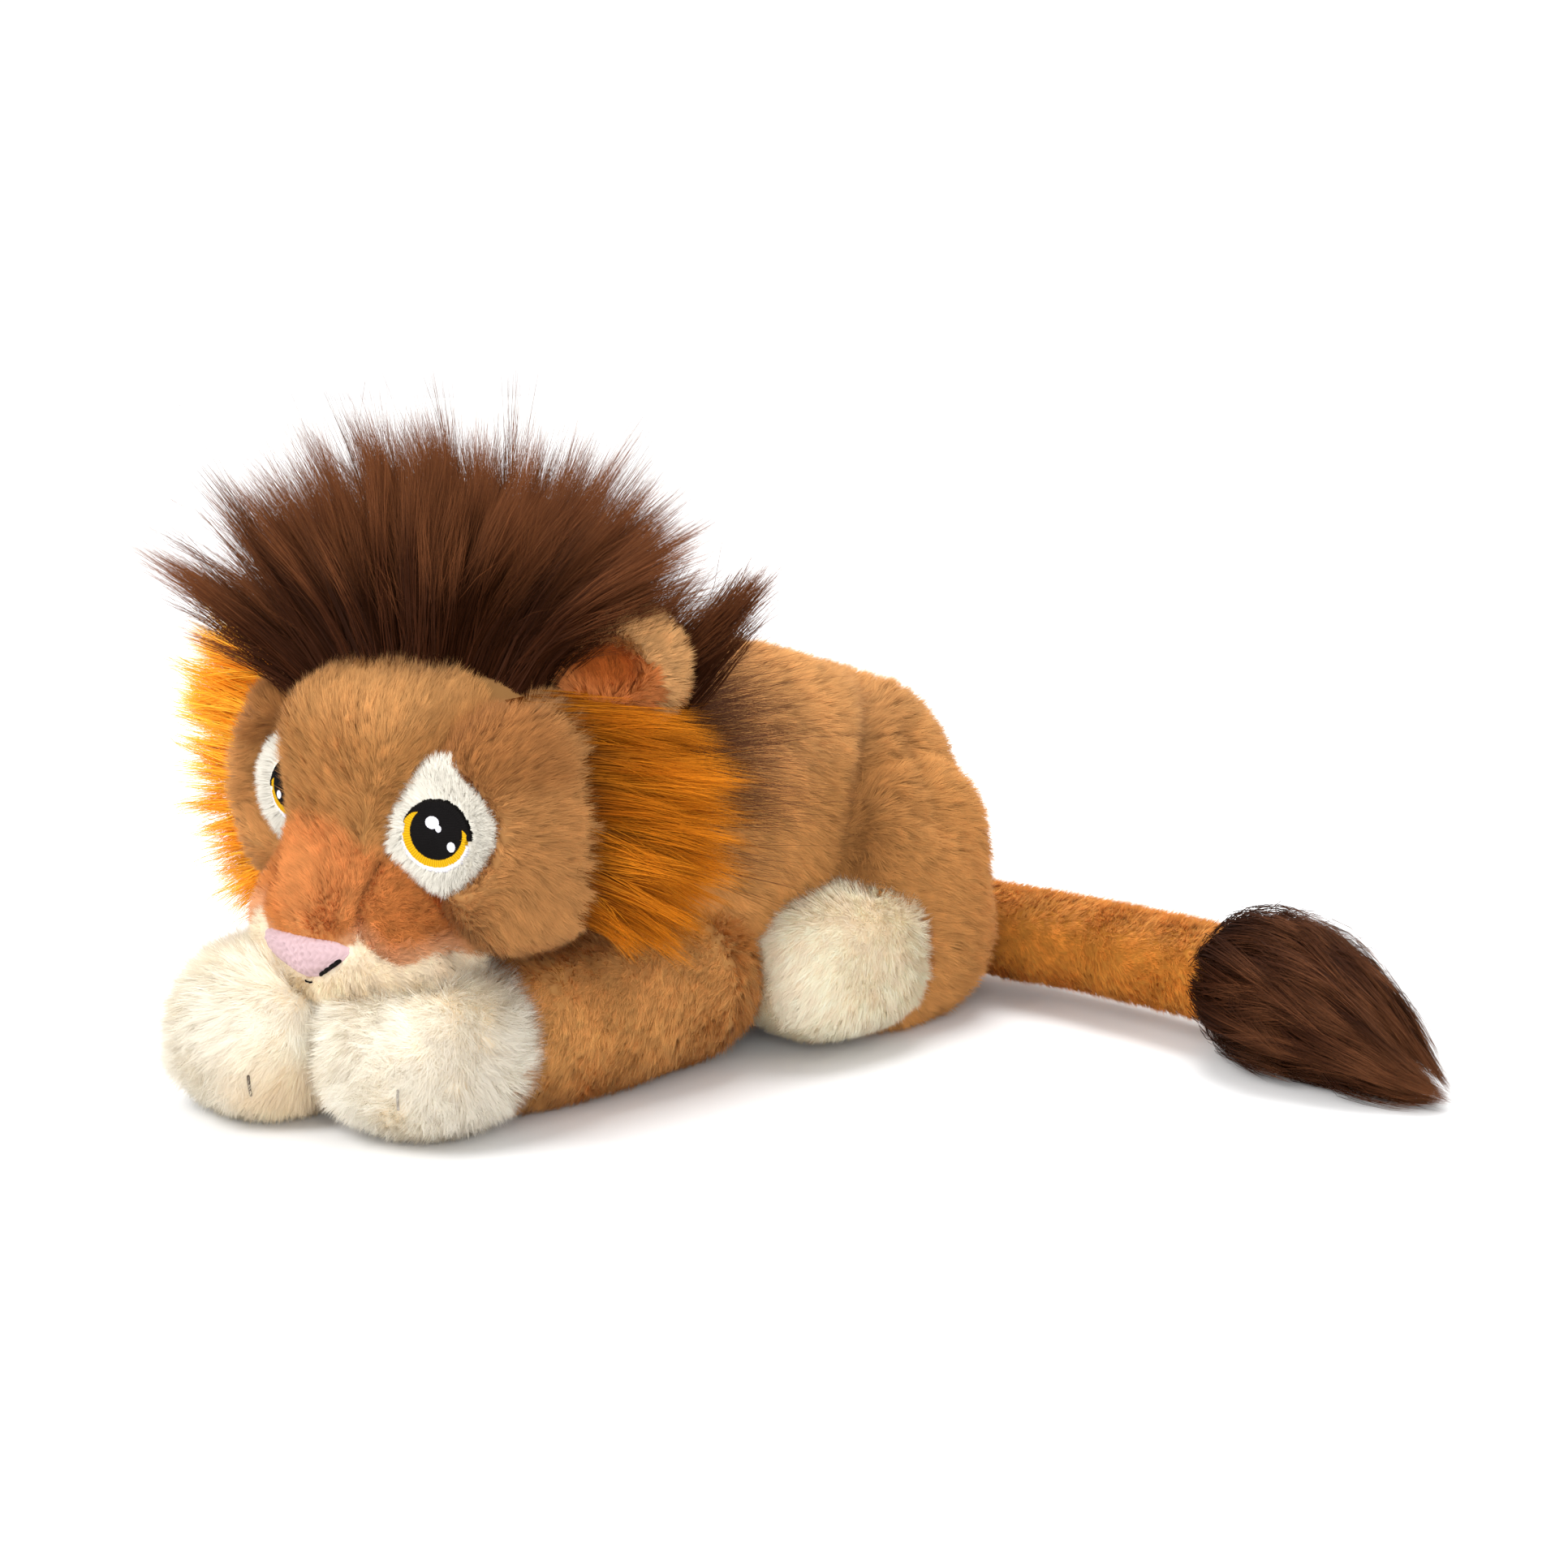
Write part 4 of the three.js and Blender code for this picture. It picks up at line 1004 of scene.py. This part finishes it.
# ================================================================== eyes
kite = np.array(KITE)
ang = np.unwrap(np.arctan2(kite[:, 1], kite[:, 0]))
for tag, side in (("left", 1), ("right", -1)):
    c, u, v, n = eye_frame(side)
    # patch: a domed velour piece that follows the socket
    nr, na = 16, 96
    th = np.linspace(0, 2 * math.pi, na, endpoint=False)
    order = np.argsort(np.mod(np.arctan2(kite[:, 1], kite[:, 0]), 2 * math.pi))
    aa, rr = np.mod(np.arctan2(kite[:, 1], kite[:, 0]), 2 * math.pi)[order], np.hypot(kite[:, 0], kite[:, 1])[order]
    edge = np.interp(th, np.r_[aa[-1] - 2 * math.pi, aa, aa[0] + 2 * math.pi], np.r_[rr[-1], rr, rr[0]])
    for _ in range(2):
        edge = (np.roll(edge, 1) + 2 * edge + np.roll(edge, -1)) / 4
    V, F = [np.array([[0.0, 0.0]])], []
    for i in range(1, nr + 1):
        V.append(np.stack([np.cos(th) * edge * i / nr, np.sin(th) * edge * i / nr], 1))
    UV = np.concatenate(V)
    rho = np.concatenate([[0], np.repeat(np.arange(1, nr + 1) / nr, na)])
    dome = lambda a, b: 1.6 - (a * a + b * b) / 150.0
    hgt = dome(UV[:, 0], UV[:, 1]) - 1.8 * smooth(0.88, 1.0, rho)
    for j in range(na):
        F.append((0, 1 + j, 1 + (j + 1) % na))
    for i in range(nr - 1):
        for j in range(na):
            a, b = 1 + i * na + j, 1 + i * na + (j + 1) % na
            F += [(a, a + na, b + na), (a, b + na, b)]
    P = c + UV[:, :1] * u + UV[:, 1:] * v + hgt[:, None] * n
    S = Surf(P, F)
    if (S.N @ n).mean() < 0:
        S = Surf(P, np.array(F)[:, ::-1])
    bag = Bag()
    every = np.ones(len(S.F), bool)
    bag.cloth(S, every, lin(210, 204, 191), lift=0.0)

    def eye_clear(p):
        a, b, _ = eye_coords(p, side)
        return np.hypot(a / 11.5, (b - 0.2) / 10.8) > 1

    pile(bag, S, every, 18.0, 3.9, 0.95, lambda p, nn, cc=c: 0.6 * unit(p - cc), lin(214, 209, 197), 300 + side, clump=0.45, per=5, width=0.2,
         cull=eye_clear, wild=0.3, root=0.93, tip=1.02, lift=0.1, tone=0.3)
    build("eye_patch_" + tag, bag, VELOUR, "head", ["eye_patch_" + tag])

    # embroidery: satin stitches, drawn as a fine relief of threads
    n_r, n_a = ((76, 300))
    rng = np.random.default_rng(310)
    th = np.linspace(0, 2 * math.pi, n_a, endpoint=False)
    deg = np.degrees(th)
    pup = 1 / np.sqrt((np.cos(th) / 9.15) ** 2 + (np.sin(th) / 8.5) ** 2)
    gold = pup + np.interp(deg, [0, 6, 12, 136, 146, 162, 180, 225, 270, 315, 345, 360], [1.4, 1.0, 0, 0, 1.3, 2.5, 3.0, 2.9, 2.5, 2.2, 1.8, 1.4])
    lash = np.interp(deg, [0, 14, 39, 66, 96, 135, 160, 170, 176, 345, 352, 360], [12.4, 11.8, 11.3, 11.1, 10.5, 11.4, 12.5, 12.6, 0, 0, 12.7, 12.4])
    white = np.interp(deg, [0, 176, 186, 210, 235, 258, 285, 319, 343, 350, 360], [0, 0, 13.1, 14.2, 13.4, 13.1, 13.0, 12.6, 12.2, 0, 0])
    jag = rng.uniform(-0.35, 0.35, n_a)
    lash = np.where(lash > 5, lash + 0.6 * jag, lash)
    gold_j = gold + 0.35 * jag * (gold > pup + 0.5)
    white = np.where(white > 5, white + jag, white)
    outer = np.maximum(np.maximum(gold_j, lash), white)
    shrink = 1.0 if side > 0 else 0.88
    rr = np.linspace(0.0, 1.0, n_r)[:, None] * outer[None]
    uu, vv = rr * np.cos(th)[None], rr * np.sin(th)[None] + 0.6
    T = np.broadcast_to(deg[None], rr.shape)
    is_p = rr < pup[None] + 0.01
    is_g = ~is_p & (rr < gold_j[None])
    is_l = ~is_p & ~is_g & (lash[None] > 5) & (rr <= lash[None])
    is_w = ~is_p & ~is_g & ~is_l
    col = np.zeros(rr.shape + (3,))
    col[:] = BLACK
    hl = ((uu + 1.15) / 2.4) ** 2 + ((vv - 3.9) / 2.0) ** 2 < 1
    hl |= ((uu - 1.1) / 1.0) ** 2 + ((vv - 2.1) / 1.1) ** 2 < 1
    hl |= ((uu - 5.5) / 1.35) ** 2 + ((vv + 3.3) / 1.6) ** 2 < 1
    stripe = lambda x, pitch: 0.5 + 0.5 * np.cos(2 * math.pi * x / pitch)
    radial = stripe(T * 0.2, 0.9)
    across = stripe(vv + 0.25 * np.sin(uu * 0.7), 0.55)
    col[is_p] = BLACK * (0.75 + 0.6 * across[is_p])[:, None]
    col[is_g] = GOLD * (0.62 + 0.45 * radial[is_g])[:, None]
    col[is_l] = BLACK * (0.75 + 0.6 * radial[is_l])[:, None]
    col[is_w] = THREAD_WHITE * (0.78 + 0.22 * radial[is_w])[:, None]
    col[hl & is_p] = THREAD_WHITE * (0.85 + 0.15 * across[hl & is_p])[:, None]
    h = dome(uu, vv) + 1.15 + 0.14 * np.where(is_p, across, radial) + 0.15 * (hl & is_p) + 0.12 * is_l
    h = h - 1.3 * smooth(0.93, 1.0, rr / outer[None])
    P = (c + shrink * (uu[..., None] * u + vv[..., None] * v) + h[..., None] * n).reshape(-1, 3)
    F = []
    ii = np.arange(n_r - 1)[:, None] * n_a
    j = np.arange(n_a)[None]
    a, b = (ii + j).ravel(), (ii + (j + 1) % n_a).ravel()
    F = np.concatenate([np.stack([a, a + n_a, b + n_a], 1), np.stack([a, b + n_a, b], 1)])
    S = Surf(P, F)
    if (S.N @ n).mean() < 0:
        S = Surf(P, F[:, ::-1])
    bag = Bag()
    flatc = col.reshape(-1, 3)
    used = np.arange(len(P))
    bag.v.append(S.V)
    bag.f.append(S.F)
    bag.n.append(S.N)
    bag.c.append(flatc)
    loops = S.F.ravel()
    plane = np.stack([uu.ravel(), vv.ravel()], 1)[loops] / 32 + 0.5
    bag.uv.append((np.zeros(len(loops), int), plane))
    bag.cells, bag.count = 1, len(P)
    build("eye_embroidery_" + tag, bag, THREAD, "head", ["eye_embroidery_" + tag])

# ================================================================== nose and mouth
nr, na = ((34, 150))
th = np.linspace(0, 2 * math.pi, na, endpoint=False)
ray = np.stack([np.cos(th), np.sin(th)], 1)
lo, hi = np.zeros(na), np.full(na, 30.0)
for _ in range(26):
    m = (lo + hi) / 2
    out = nose_in(m * ray[:, 0], m * ray[:, 1]) > 0
    hi, lo = np.where(out, m, hi), np.where(out, lo, m)
edge = lo
for _ in range(4):
    edge = (np.roll(edge, 1) + 2 * edge + np.roll(edge, -1)) / 4
rho = np.linspace(0, 1, nr)
X = (rho[:, None] * edge * ray[:, 0]).ravel()
Z = (rho[:, None] * edge * ray[:, 1]).ravel()
R = np.repeat(rho, na)
org = NOSE_C + X[:, None] * NOSE_U + Z[:, None] * NOSE_V - NOSE_N * 45
pt = on_surface(head_f, org, np.tile(NOSE_N, (len(org), 1)), 60)
gn = grad(head_f, pt)
gn = unit(gn * 0.5 + NOSE_N)
terry = waves(41, 1.9, 1, 16)(pt)[:, 0] + 0.7 * waves(42, 1.2, 1, 16)(pt)[:, 0]
lift = 0.2 + (4.6 + 1.3 * smooth(2, -18, X)) * (1 - R ** 3.2) ** 0.55 + 0.15 * terry * (R < 0.98)
P = pt + gn * lift[:, None]
ii = np.arange(nr - 1)[:, None] * na
j = np.arange(na)[None]
a, b = (ii + j).ravel(), (ii + (j + 1) % na).ravel()
F = np.concatenate([np.stack([a, a + na, b + na], 1), np.stack([a, b + na, b], 1)])
S = Surf(P, F)
if (S.N @ NOSE_N).mean() < 0:
    S = Surf(P, F[:, ::-1])
bag = Bag()
tone = 1 + 0.05 * terry[:, None]
bag.v.append(S.V)
bag.f.append(S.F)
bag.n.append(S.N)
bag.c.append(np.clip(PINK * tone, 0, 1))
loops = S.F.ravel()
bag.uv.append((np.zeros(len(loops), int), np.stack([X, Z], 1)[loops] / 44 + 0.5))
bag.cells, bag.count = 1, len(P)
build("nose", bag, VELOUR, "head", ["nose"])


def thread(bag, pts, r, colour, segs=8):
    pts = np.asarray(pts, float)
    S = swept(pts, [r] * len(pts), rings=max(6, len(pts) * 3), segs=segs)
    bag.cloth(S, np.ones(len(S.F), bool), colour, lift=0.0)


bag = Bag()
for side, r in ((1, 0.78), (-1, 0.55)):
    guide = [(8.0, 54.4), (10.6, 56.0), (13.2, 57.7), (15.8, 59.5), (17.4, 60.8)] if side > 0 else [(-2.2, 51.2), (-0.5, 51.0), (1.2, 51.1)]
    for (x0, z0), (x1, z1) in zip(guide[:-1], guide[1:]):
        seg = []
        for w in (0.04, 0.5, 0.96):
            x, z = (x0 + (x1 - x0) * w) * side, z0 + (z1 - z0) * w
            q = on_surface(head_f, np.array([[x, -120.0, z]]), np.array([[0, -1.0, 0]]), 60)[0]
            nn = grad(head_f, q[None])[0]
            seg.append(q + nn * (2.6 + 0.5 * math.sin(math.pi * w)))
        thread(bag, seg, r * (0.5 + 0.5 * min(abs(x0) / 12, 1.0)), BLACK)
build("mouth_stitch", bag, THREAD, "head")

# ================================================================== ears
for tag, side in (("left", 1), ("right", -1)):
    body = "ear_l" if side > 0 else "ear_r"
    a = math.radians(36)
    fwd = unit(np.array([[math.sin(a) * side, -math.cos(a), 0.16]]))[0]
    upv = np.array([0.18 * side, 0.05, 1.0])
    upv = unit((upv - fwd * (upv @ fwd))[None])[0]
    lat = np.cross(upv, fwd)
    centre = np.array([43.4 * side, -74.4, 146.5])
    nr, na = 26, 84
    th = np.linspace(0, 2 * math.pi, na, endpoint=False)
    ex, ey = 21.5 * np.cos(th), 18.5 * np.sin(th)
    ey = np.where(ey < 0, ey * 0.95, ey)
    front, back = [], []
    for i in range(nr + 1):
        r = i / nr
        hf = 5.0 * math.sqrt(max(0.0, 1 - r ** 5)) - 6.5 * max(0.0, 1 - (r / 0.62) ** 2)
        hb = -5.5 * math.sqrt(max(0.0, 1 - r ** 3))
        flat = centre + (r * ex)[:, None] * lat + (r * ey)[:, None] * upv
        curl = -0.006 * (r * ex) ** 2
        front.append(flat + (hf + curl)[:, None] * fwd)
        back.append(flat + (hb + curl)[:, None] * fwd)
    ii = np.arange(nr)[:, None] * na
    j = np.arange(na)[None]
    a0, b0 = (ii + j).ravel(), (ii + (j + 1) % na).ravel()
    F = np.concatenate([np.stack([a0, a0 + na, b0 + na], 1), np.stack([a0, b0 + na, b0], 1)])
    back_S = Surf(np.concatenate(back), F)
    if (back_S.N @ fwd).mean() > 0:
        back_S = Surf(back_S.V, F[:, ::-1])
    front_S = Surf(np.concatenate(front), F)
    if (front_S.N @ fwd).mean() < 0:
        front_S = Surf(front_S.V, F[:, ::-1])

    def ear_r(p):
        q = p - centre
        return np.hypot((q @ lat) / 21.5, (q @ upv) / 18.5)

    def inner_r(p):
        q = p - centre
        return np.hypot((q @ lat - 1.5 * side) / 15.8, (q @ upv + 5.0) / 12.6)

    bag = Bag()
    every = np.ones(len(back_S.F), bool)
    bag.cloth(back_S, every, BODY_TAN * 0.74, lift=0.6)
    rim = inner_r(front_S.mid) > 1
    bag.cloth(front_S, rim, TAN * 0.85, lift=0.6)

    def ear_groom(p, n):
        q = p - centre
        flatq = q - (q @ fwd)[:, None] * fwd
        return 0.75 * unit(flatq + 0.001) + 0.25 * upv - 0.15 * fwd

    keep = lambda p: head_f(p) > -4
    pile(bag, back_S, every, 7.5, 5.6, 0.95, ear_groom, TAN, 400 + side, wild=0.3, cull=keep)
    pile(bag, front_S, rim, 11.0, 5.6, 0.8, ear_groom, TAN_LIGHT, 402 + side, wild=0.25, cull=keep)
    build("ear_" + tag, bag, PILE, body, ["ear_" + tag])
    bag = Bag()
    bag.cloth(front_S, ~rim, EAR_IN * 0.75, lift=0.6)

    def ear_colour(p, n):
        r = ear_r(p)
        return mix(EAR_IN * 0.92, mix(EAR_IN, TAN_LIGHT, 0.3), smooth(0.35, 0.8, r))

    pile(bag, front_S, ~rim, 10.0, 5.0, 0.85, lambda p, n: 0.45 * unit(p - centre + 0.001) + 0.6 * upv, ear_colour, 404 + side, wild=0.3, cull=keep)
    build("ear_lining_" + tag, bag, PILE, body, ["ear_lining_" + tag])

# ================================================================== mane
rng = np.random.default_rng(500)


def head_top(x, y):
    o = np.stack([x, y, np.full(len(x), 95.0)], 1)
    return on_surface(head_f, o, np.tile([0, 0, 1.0], (len(x), 1)), 80)


SCR, FWD = np.array([0.682, 0.7314, 0.0]), np.array([0.7314, -0.682, 0.0])


def mane_roots(rng, n, t0, t1):
    x = rng.uniform(-39, 30, n)
    f = hairline(x)
    y = f + (-67 - f) * rng.uniform(t0, t1, n)
    right = np.interp(y, [-100, -67], [32, 17])
    leftm = np.interp(y, [-115, -67], [-40, -34])
    keep = (x < right) & (x > leftm)
    return x[keep], y[keep], ((y - f) / (-67 - f))[keep]


def mane_locks(bag, n, seed, t0, t1, per, width, scale=1.0, fly=0.045, light=1.0, root_r=4.2, tip_r=3.4, tuft_r=0.6, tufts=4, k=5, tone=0.09):
    rng = np.random.default_rng(seed)
    x, y, dep = mane_roots(rng, n, t0, t1)
    n = len(x)
    root = head_top(x, y)
    root[:, 2] += 0.5
    t = (x + 4.5) / 34.5
    # neighbouring locks lean together into pointed groups
    shift = rng.uniform(-0.5, 0.5)
    group = (np.round(t * 4.6 + shift + 0.8 * dep) - shift - 0.8 * dep) / 4.6
    tt = t + 0.5 * (group - t)
    ang = np.radians(np.interp(tt, [-1, -0.75, -0.4, 0, 0.5, 1], [-54, -33, -17, -4, 12, 30])) + rng.normal(0, 0.09, n)
    d = np.sin(ang)[:, None] * SCR + np.cos(ang)[:, None] * np.array([0, 0, 1.0]) + FWD * (0.16 - 0.42 * dep + rng.normal(0, 0.08, n))[:, None]
    L = scale * np.interp(tt, [-1, -0.75, -0.4, 0, 0.5, 1], [66, 83, 83, 80, 77, 74]) * (1.05 - 0.9 * np.abs(group - t)) * rng.uniform(0.72, 1.08, n)
    br = np.interp(tt, [-1, -0.5, 0, 0.5, 1], [-11, -8, 2, 12, 30]) + rng.normal(0, 5.5, n)
    bz = np.interp(tt, [-1, -0.5, 0, 0.5, 1], [2, 0, 0, -2, -9]) + rng.normal(0, 3.5, n)
    bend = br[:, None] * SCR + bz[:, None] * np.array([0, 0, 1.0])
    locks(bag, root, d, L, per, seed + 1, root_r=root_r, tip_r=tip_r, tuft_r=tuft_r, tufts=tufts, width=width, k=k, bend=bend, fly=fly,
          colours=(MANE_ROOT, MANE_MID, MANE_TIP), normal=unit(0.25 * d + np.array([0.3, -0.72, 0.45])), light=light, tone=tone)


per = 60
bag = Bag()
mane_locks(bag, 170, 510, 0.0, 0.42, per * 2, 0.24, fly=0.03, root_r=5.4, tip_r=6.4, tuft_r=1.3, tufts=3, k=4, tone=0.2)
mane_locks(bag, 46, 512, 0.0, 0.2, 26, 0.2, scale=0.66, fly=0.06, light=1.08, root_r=5.0, tip_r=3.0, tuft_r=1.0, k=4, tone=0.2)
mane_locks(bag, 90, 514, 0.0, 0.6, 9, 0.16, fly=0.11, light=1.3, root_r=5.0, tip_r=6.0)
cap = (H.mid[:, 2] > 118) & (H.mid[:, 0] > -40) & (H.mid[:, 0] < 33) & (H.mid[:, 1] > hairline(H.mid[:, 0]) - 1.0) & (H.mid[:, 1] < -60)
bag.cloth(H, cap, MANE_ROOT * 0.7, lift=3.0)
build("mane", bag, LONG, "head", ["mane"])
bag = Bag()
mane_locks(bag, 180, 520, 0.35, 1.0, per * 2, 0.24, fly=0.03, root_r=5.4, tip_r=6.6, tuft_r=1.3, tufts=3, k=4, tone=0.2)
build("mane_rear", bag, LONG, "head", ())

# nape strip: thinner hair laid back over the shoulders
bag = Bag()
rng = np.random.default_rng(530)
n = 260
phi = rng.normal(0, 54, n).clip(-116, 116)
pr = np.radians(phi)
yy = rng.uniform(-74, -56, n)
base = np.stack([np.zeros(n), yy, np.full(n, 94.0)], 1)
out = np.stack([np.sin(pr), np.zeros(n), np.cos(pr)], 1)
root = base + out * (32 + 10 * np.abs(np.sin(pr)))[:, None] + np.array([0, 0, 2.0])
d = out * 0.42 + np.array([0, 0.95, 0.0]) + rng.normal(0, 0.11, (n, 3))
L = rng.uniform(54, 82, n)
bend = np.stack([3 * np.sin(pr), 0 * pr, -5 * np.cos(pr) - 4], 1)
over_body = lambda p: torso_f(p) - 6.0
locks(bag, root, d, L, 22, 531, root_r=4.6, tip_r=5.0, tuft_r=1.0, width=0.2, k=5, bend=bend, fly=0.07,
      colours=(MANE_ROOT, lin(84, 50, 30), lin(118, 78, 52)), normal=unit(out + 0.2), clear=over_body)
# an upright lock behind each ear
n = 44
sx = np.where(np.arange(n) % 2 == 0, 1.0, -1.0)
root = np.stack([sx * rng.uniform(42, 53, n), rng.uniform(-55, -47, n), rng.uniform(130, 142, n)], 1)
d = np.stack([sx * 0.42, np.full(n, 0.44), np.full(n, 0.76)], 1) + rng.normal(0, 0.05, (n, 3))
locks(bag, root, d, rng.uniform(40, 54, n), 40, 532, root_r=4.0, tip_r=2.6, width=0.26, k=5,
      colours=(MANE_ROOT, MANE_MID, MANE_TIP), normal=unit(d * 0.3 + np.array([0.3, -0.6, 0.4])))
# the hair between them closes the crown at the back
n = 120
root = np.stack([rng.uniform(-44, 44, n), rng.uniform(-66, -58, n), rng.uniform(126, 136, n)], 1)
d = np.stack([root[:, 0] / 70, np.full(n, 0.5), np.full(n, 0.75)], 1) + rng.normal(0, 0.08, (n, 3))
locks(bag, root, d, rng.uniform(40, 58, n), 30, 533, root_r=4.4, tip_r=3.6, width=0.27, k=5,
      colours=(MANE_ROOT, MANE_MID, MANE_TIP), normal=unit(np.tile([0.0, 0.7, 0.5], (n, 1))))
build("nape_mane", bag, LONG, "head", ["nape_mane"])

# ================================================================== ruffs
for tag, side in (("left", 1), ("right", -1)):
    rng = np.random.default_rng(540)
    n = 270 if side > 0 else 380
    phi = rng.uniform(36, 112 if side > 0 else 122, n)
    pr = np.radians(phi)
    row_t = rng.uniform(0, 1, n)
    yy = (-103 + 23 * row_t) if side > 0 else (-126 + 26 * row_t)
    out = np.stack([np.sin(pr) * side, np.zeros(n), np.cos(pr)], 1)
    root = on_surface(head_f, np.stack([np.zeros(n), yy, np.full(n, 93.0)], 1), out, 100) + out * 1.0
    low = smooth(70, 118, phi)
    if side > 0:
        d = np.stack([0.62 + 0 * pr, 0.72 - 0.06 * low, -0.06 - 0.30 * low], 1)
        L = (35 + 6 * np.sin(pr)) * (1 - 0.26 * low) * (0.58 + 0.68 * rng.uniform(0, 1, n) ** 1.5)
        bend = np.stack([-6 + 0 * pr, 5 + 0 * pr, -6 - 3 * low], 1)
        clear = lambda p: np.minimum(torso_f(p) - 5.5, arm_f(p, ARM_L) - 5.5)
    else:
        d = np.stack([-0.95 + 0 * pr, -0.24 + 0 * pr, 0.10 - 0.34 * low], 1)
        L = (54 + 6 * np.sin(pr)) * (1 - 0.2 * low) * (0.58 + 0.52 * rng.uniform(0, 1, n) ** 0.8)
        bend = np.stack([1 + 0 * pr, 7 + 0 * pr, -4 - 5 * low], 1) + rng.normal(0, 2.0, (n, 3))
        clear = lambda p: np.minimum(torso_f(p) - 5.5, arm_f(p, ARM_R) - 5.5)
    # the front row hugs the cheek, the rows behind fill the depth
    d = unit(d + out * (0.22 * (1 - row_t))[:, None] + rng.normal(0, 0.05 if side > 0 else 0.09, (n, 3)))
    bag = Bag()
    tone = mix(RUFF_A, RUFF_B, rng.uniform(0, 1, n) ** (1.4 if side > 0 else 0.5))
    # painted light: the far ruff takes a brighter, yellower orange than the near one
    tone = tone if side > 0 else mix(lin(255, 156, 26), lin(255, 188, 62), rng.uniform(0, 1, n))
    # painted shade: the near ruff's hair is dark at the root, where it leaves the cheek
    shade = lambda i: ((RUFF_DARK * 0.55 + tone[i] * 0.12) if side > 0 else tone[i] * 0.9, tone[i], mix(tone[i], RUFF_B if side > 0 else lin(255, 190, 66), np.full(len(i), 0.5)) * 1.08)
    locks(bag, root, d, L, 66 if side > 0 else 50, 541 + side, root_r=5.0, tip_r=3.6, tuft_r=0.9 if side > 0 else 1.4, tufts=3, width=0.22 if side > 0 else 0.28, k=4, bend=bend, fly=0.03,
          colours=shade, normal=unit(out + np.array([0.25, -0.25, 0.25])) if side > 0 else unit(0.3 * out + np.array([0.1, -0.8, 0.5])), clear=clear, curl=2.0, tone=0.14)
    # a dark ground under the ruff's roots: painted shade between the locks
    fringe = (np.abs(H.mid[:, 1] + (92 if side > 0 else 108)) < 16) & (H.mid[:, 0] * side > 30) & (H.mid[:, 2] > 50) & (H.mid[:, 2] < 142)
    bag.cloth(H, fringe, RUFF_DARK, lift=2.6)
    build("ruff_" + tag, bag, LONG, "head", ["ruff_" + tag])

# ================================================================== toe stitches
for tag, side, c, body in (("left", 1, PAW_L, "foreleg_l"), ("right", -1, PAW_R, "foreleg_r")):
    bag = Bag()
    for dx, z0, r, shade in (((16.0, 19.5, 0.42, lin(128, 120, 112)),) if side > 0 else ((17.0, 16.5, 0.55, lin(78, 66, 56)),)):
        pts = []
        for z in (z0, z0 + 2.7, z0 + 5.4):
            q = on_surface(lambda p, c=c: paw_f(p, c), np.array([[c[0] + dx, c[1], z]]), np.array([[0, -1.0, 0]]), 40)[0]
            g = grad(lambda p, c=c: paw_f(p, c), q[None])[0]
            pts.append(q + g * 7.4 + np.array([0.3 * (z - z0), 0, 0]))
        thread(bag, pts, r, shade)
    build("toe_stitch_" + tag, bag, THREAD, body)

# ================================================================== stage
w = bpy.data.worlds.new("studio")
bpy.context.scene.world = w
w.use_nodes = True
w.node_tree.nodes["Background"].inputs["Color"].default_value = (1.0, 1.0, 1.0, 1)
w.node_tree.nodes["Background"].inputs["Strength"].default_value = 1.1

floor_m = bpy.data.materials.new("floor")
floor_m.use_nodes = True
floor_m.node_tree.nodes["Principled BSDF"].inputs["Base Color"].default_value = (0.73, 0.73, 0.73, 1)
floor_m.node_tree.nodes["Principled BSDF"].inputs["Roughness"].default_value = 0.9
floor_m.node_tree.nodes["Principled BSDF"].inputs["Specular IOR Level"].default_value = 0.1
bpy.ops.mesh.primitive_circle_add(vertices=128, radius=1.45, fill_type="NGON", location=(0, 0, 0))
floor = bpy.context.object
floor.name = "floor"
floor.data.materials.append(floor_m)
floor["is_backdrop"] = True


def area_light(name, loc, target, size, power, colour=(1, 1, 1)):
    d = bpy.data.lights.new(name, "AREA")
    d.shape, d.size, d.energy, d.color = "DISK", size, power, colour
    o = bpy.data.objects.new(name, d)
    bpy.context.scene.collection.objects.link(o)
    o.location = loc
    o.rotation_mode = "QUATERNION"
    o.rotation_quaternion = (Vector(target) - Vector(loc)).to_track_quat("-Z", "Y")
    return o


area_light("key", (-0.2, -1.3, 1.25), (-0.02, 0.0, 0.06), 0.9, 23)
area_light("top", (-0.3, 0.4, 1.7), (0.0, 0.0, 0.05), 1.2, 30)
area_light("fill", (1.1, -1.0, 0.5), (0.02, 0.0, 0.05), 0.9, 12)

# ------------------------------------------------------------------ camera at the photograph's angle
az, el, dist = math.radians(47), math.radians(14), 1.5
target = Vector(row((45, 0, 95)))
back = Vector((math.sin(az) * math.cos(el), -math.cos(az) * math.cos(el), math.sin(el)))
cam = bpy.data.cameras.new("camera")
cam.lens, cam.sensor_width = 5555.6 / 1932 * 36, 36
cam.clip_start, cam.clip_end = 0.05, 60
co = bpy.data.objects.new("camera", cam)
bpy.context.scene.collection.objects.link(co)
co.location = target + back * dist
co.rotation_mode = "QUATERNION"
co.rotation_quaternion = (-back).to_track_quat("-Z", "Y")
bpy.context.scene.camera = co
bpy.context.scene.view_settings.view_transform = "Standard"

lo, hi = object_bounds()
print("faces", sum(made.values()), {k: v for k, v in made.items() if v > 150000})
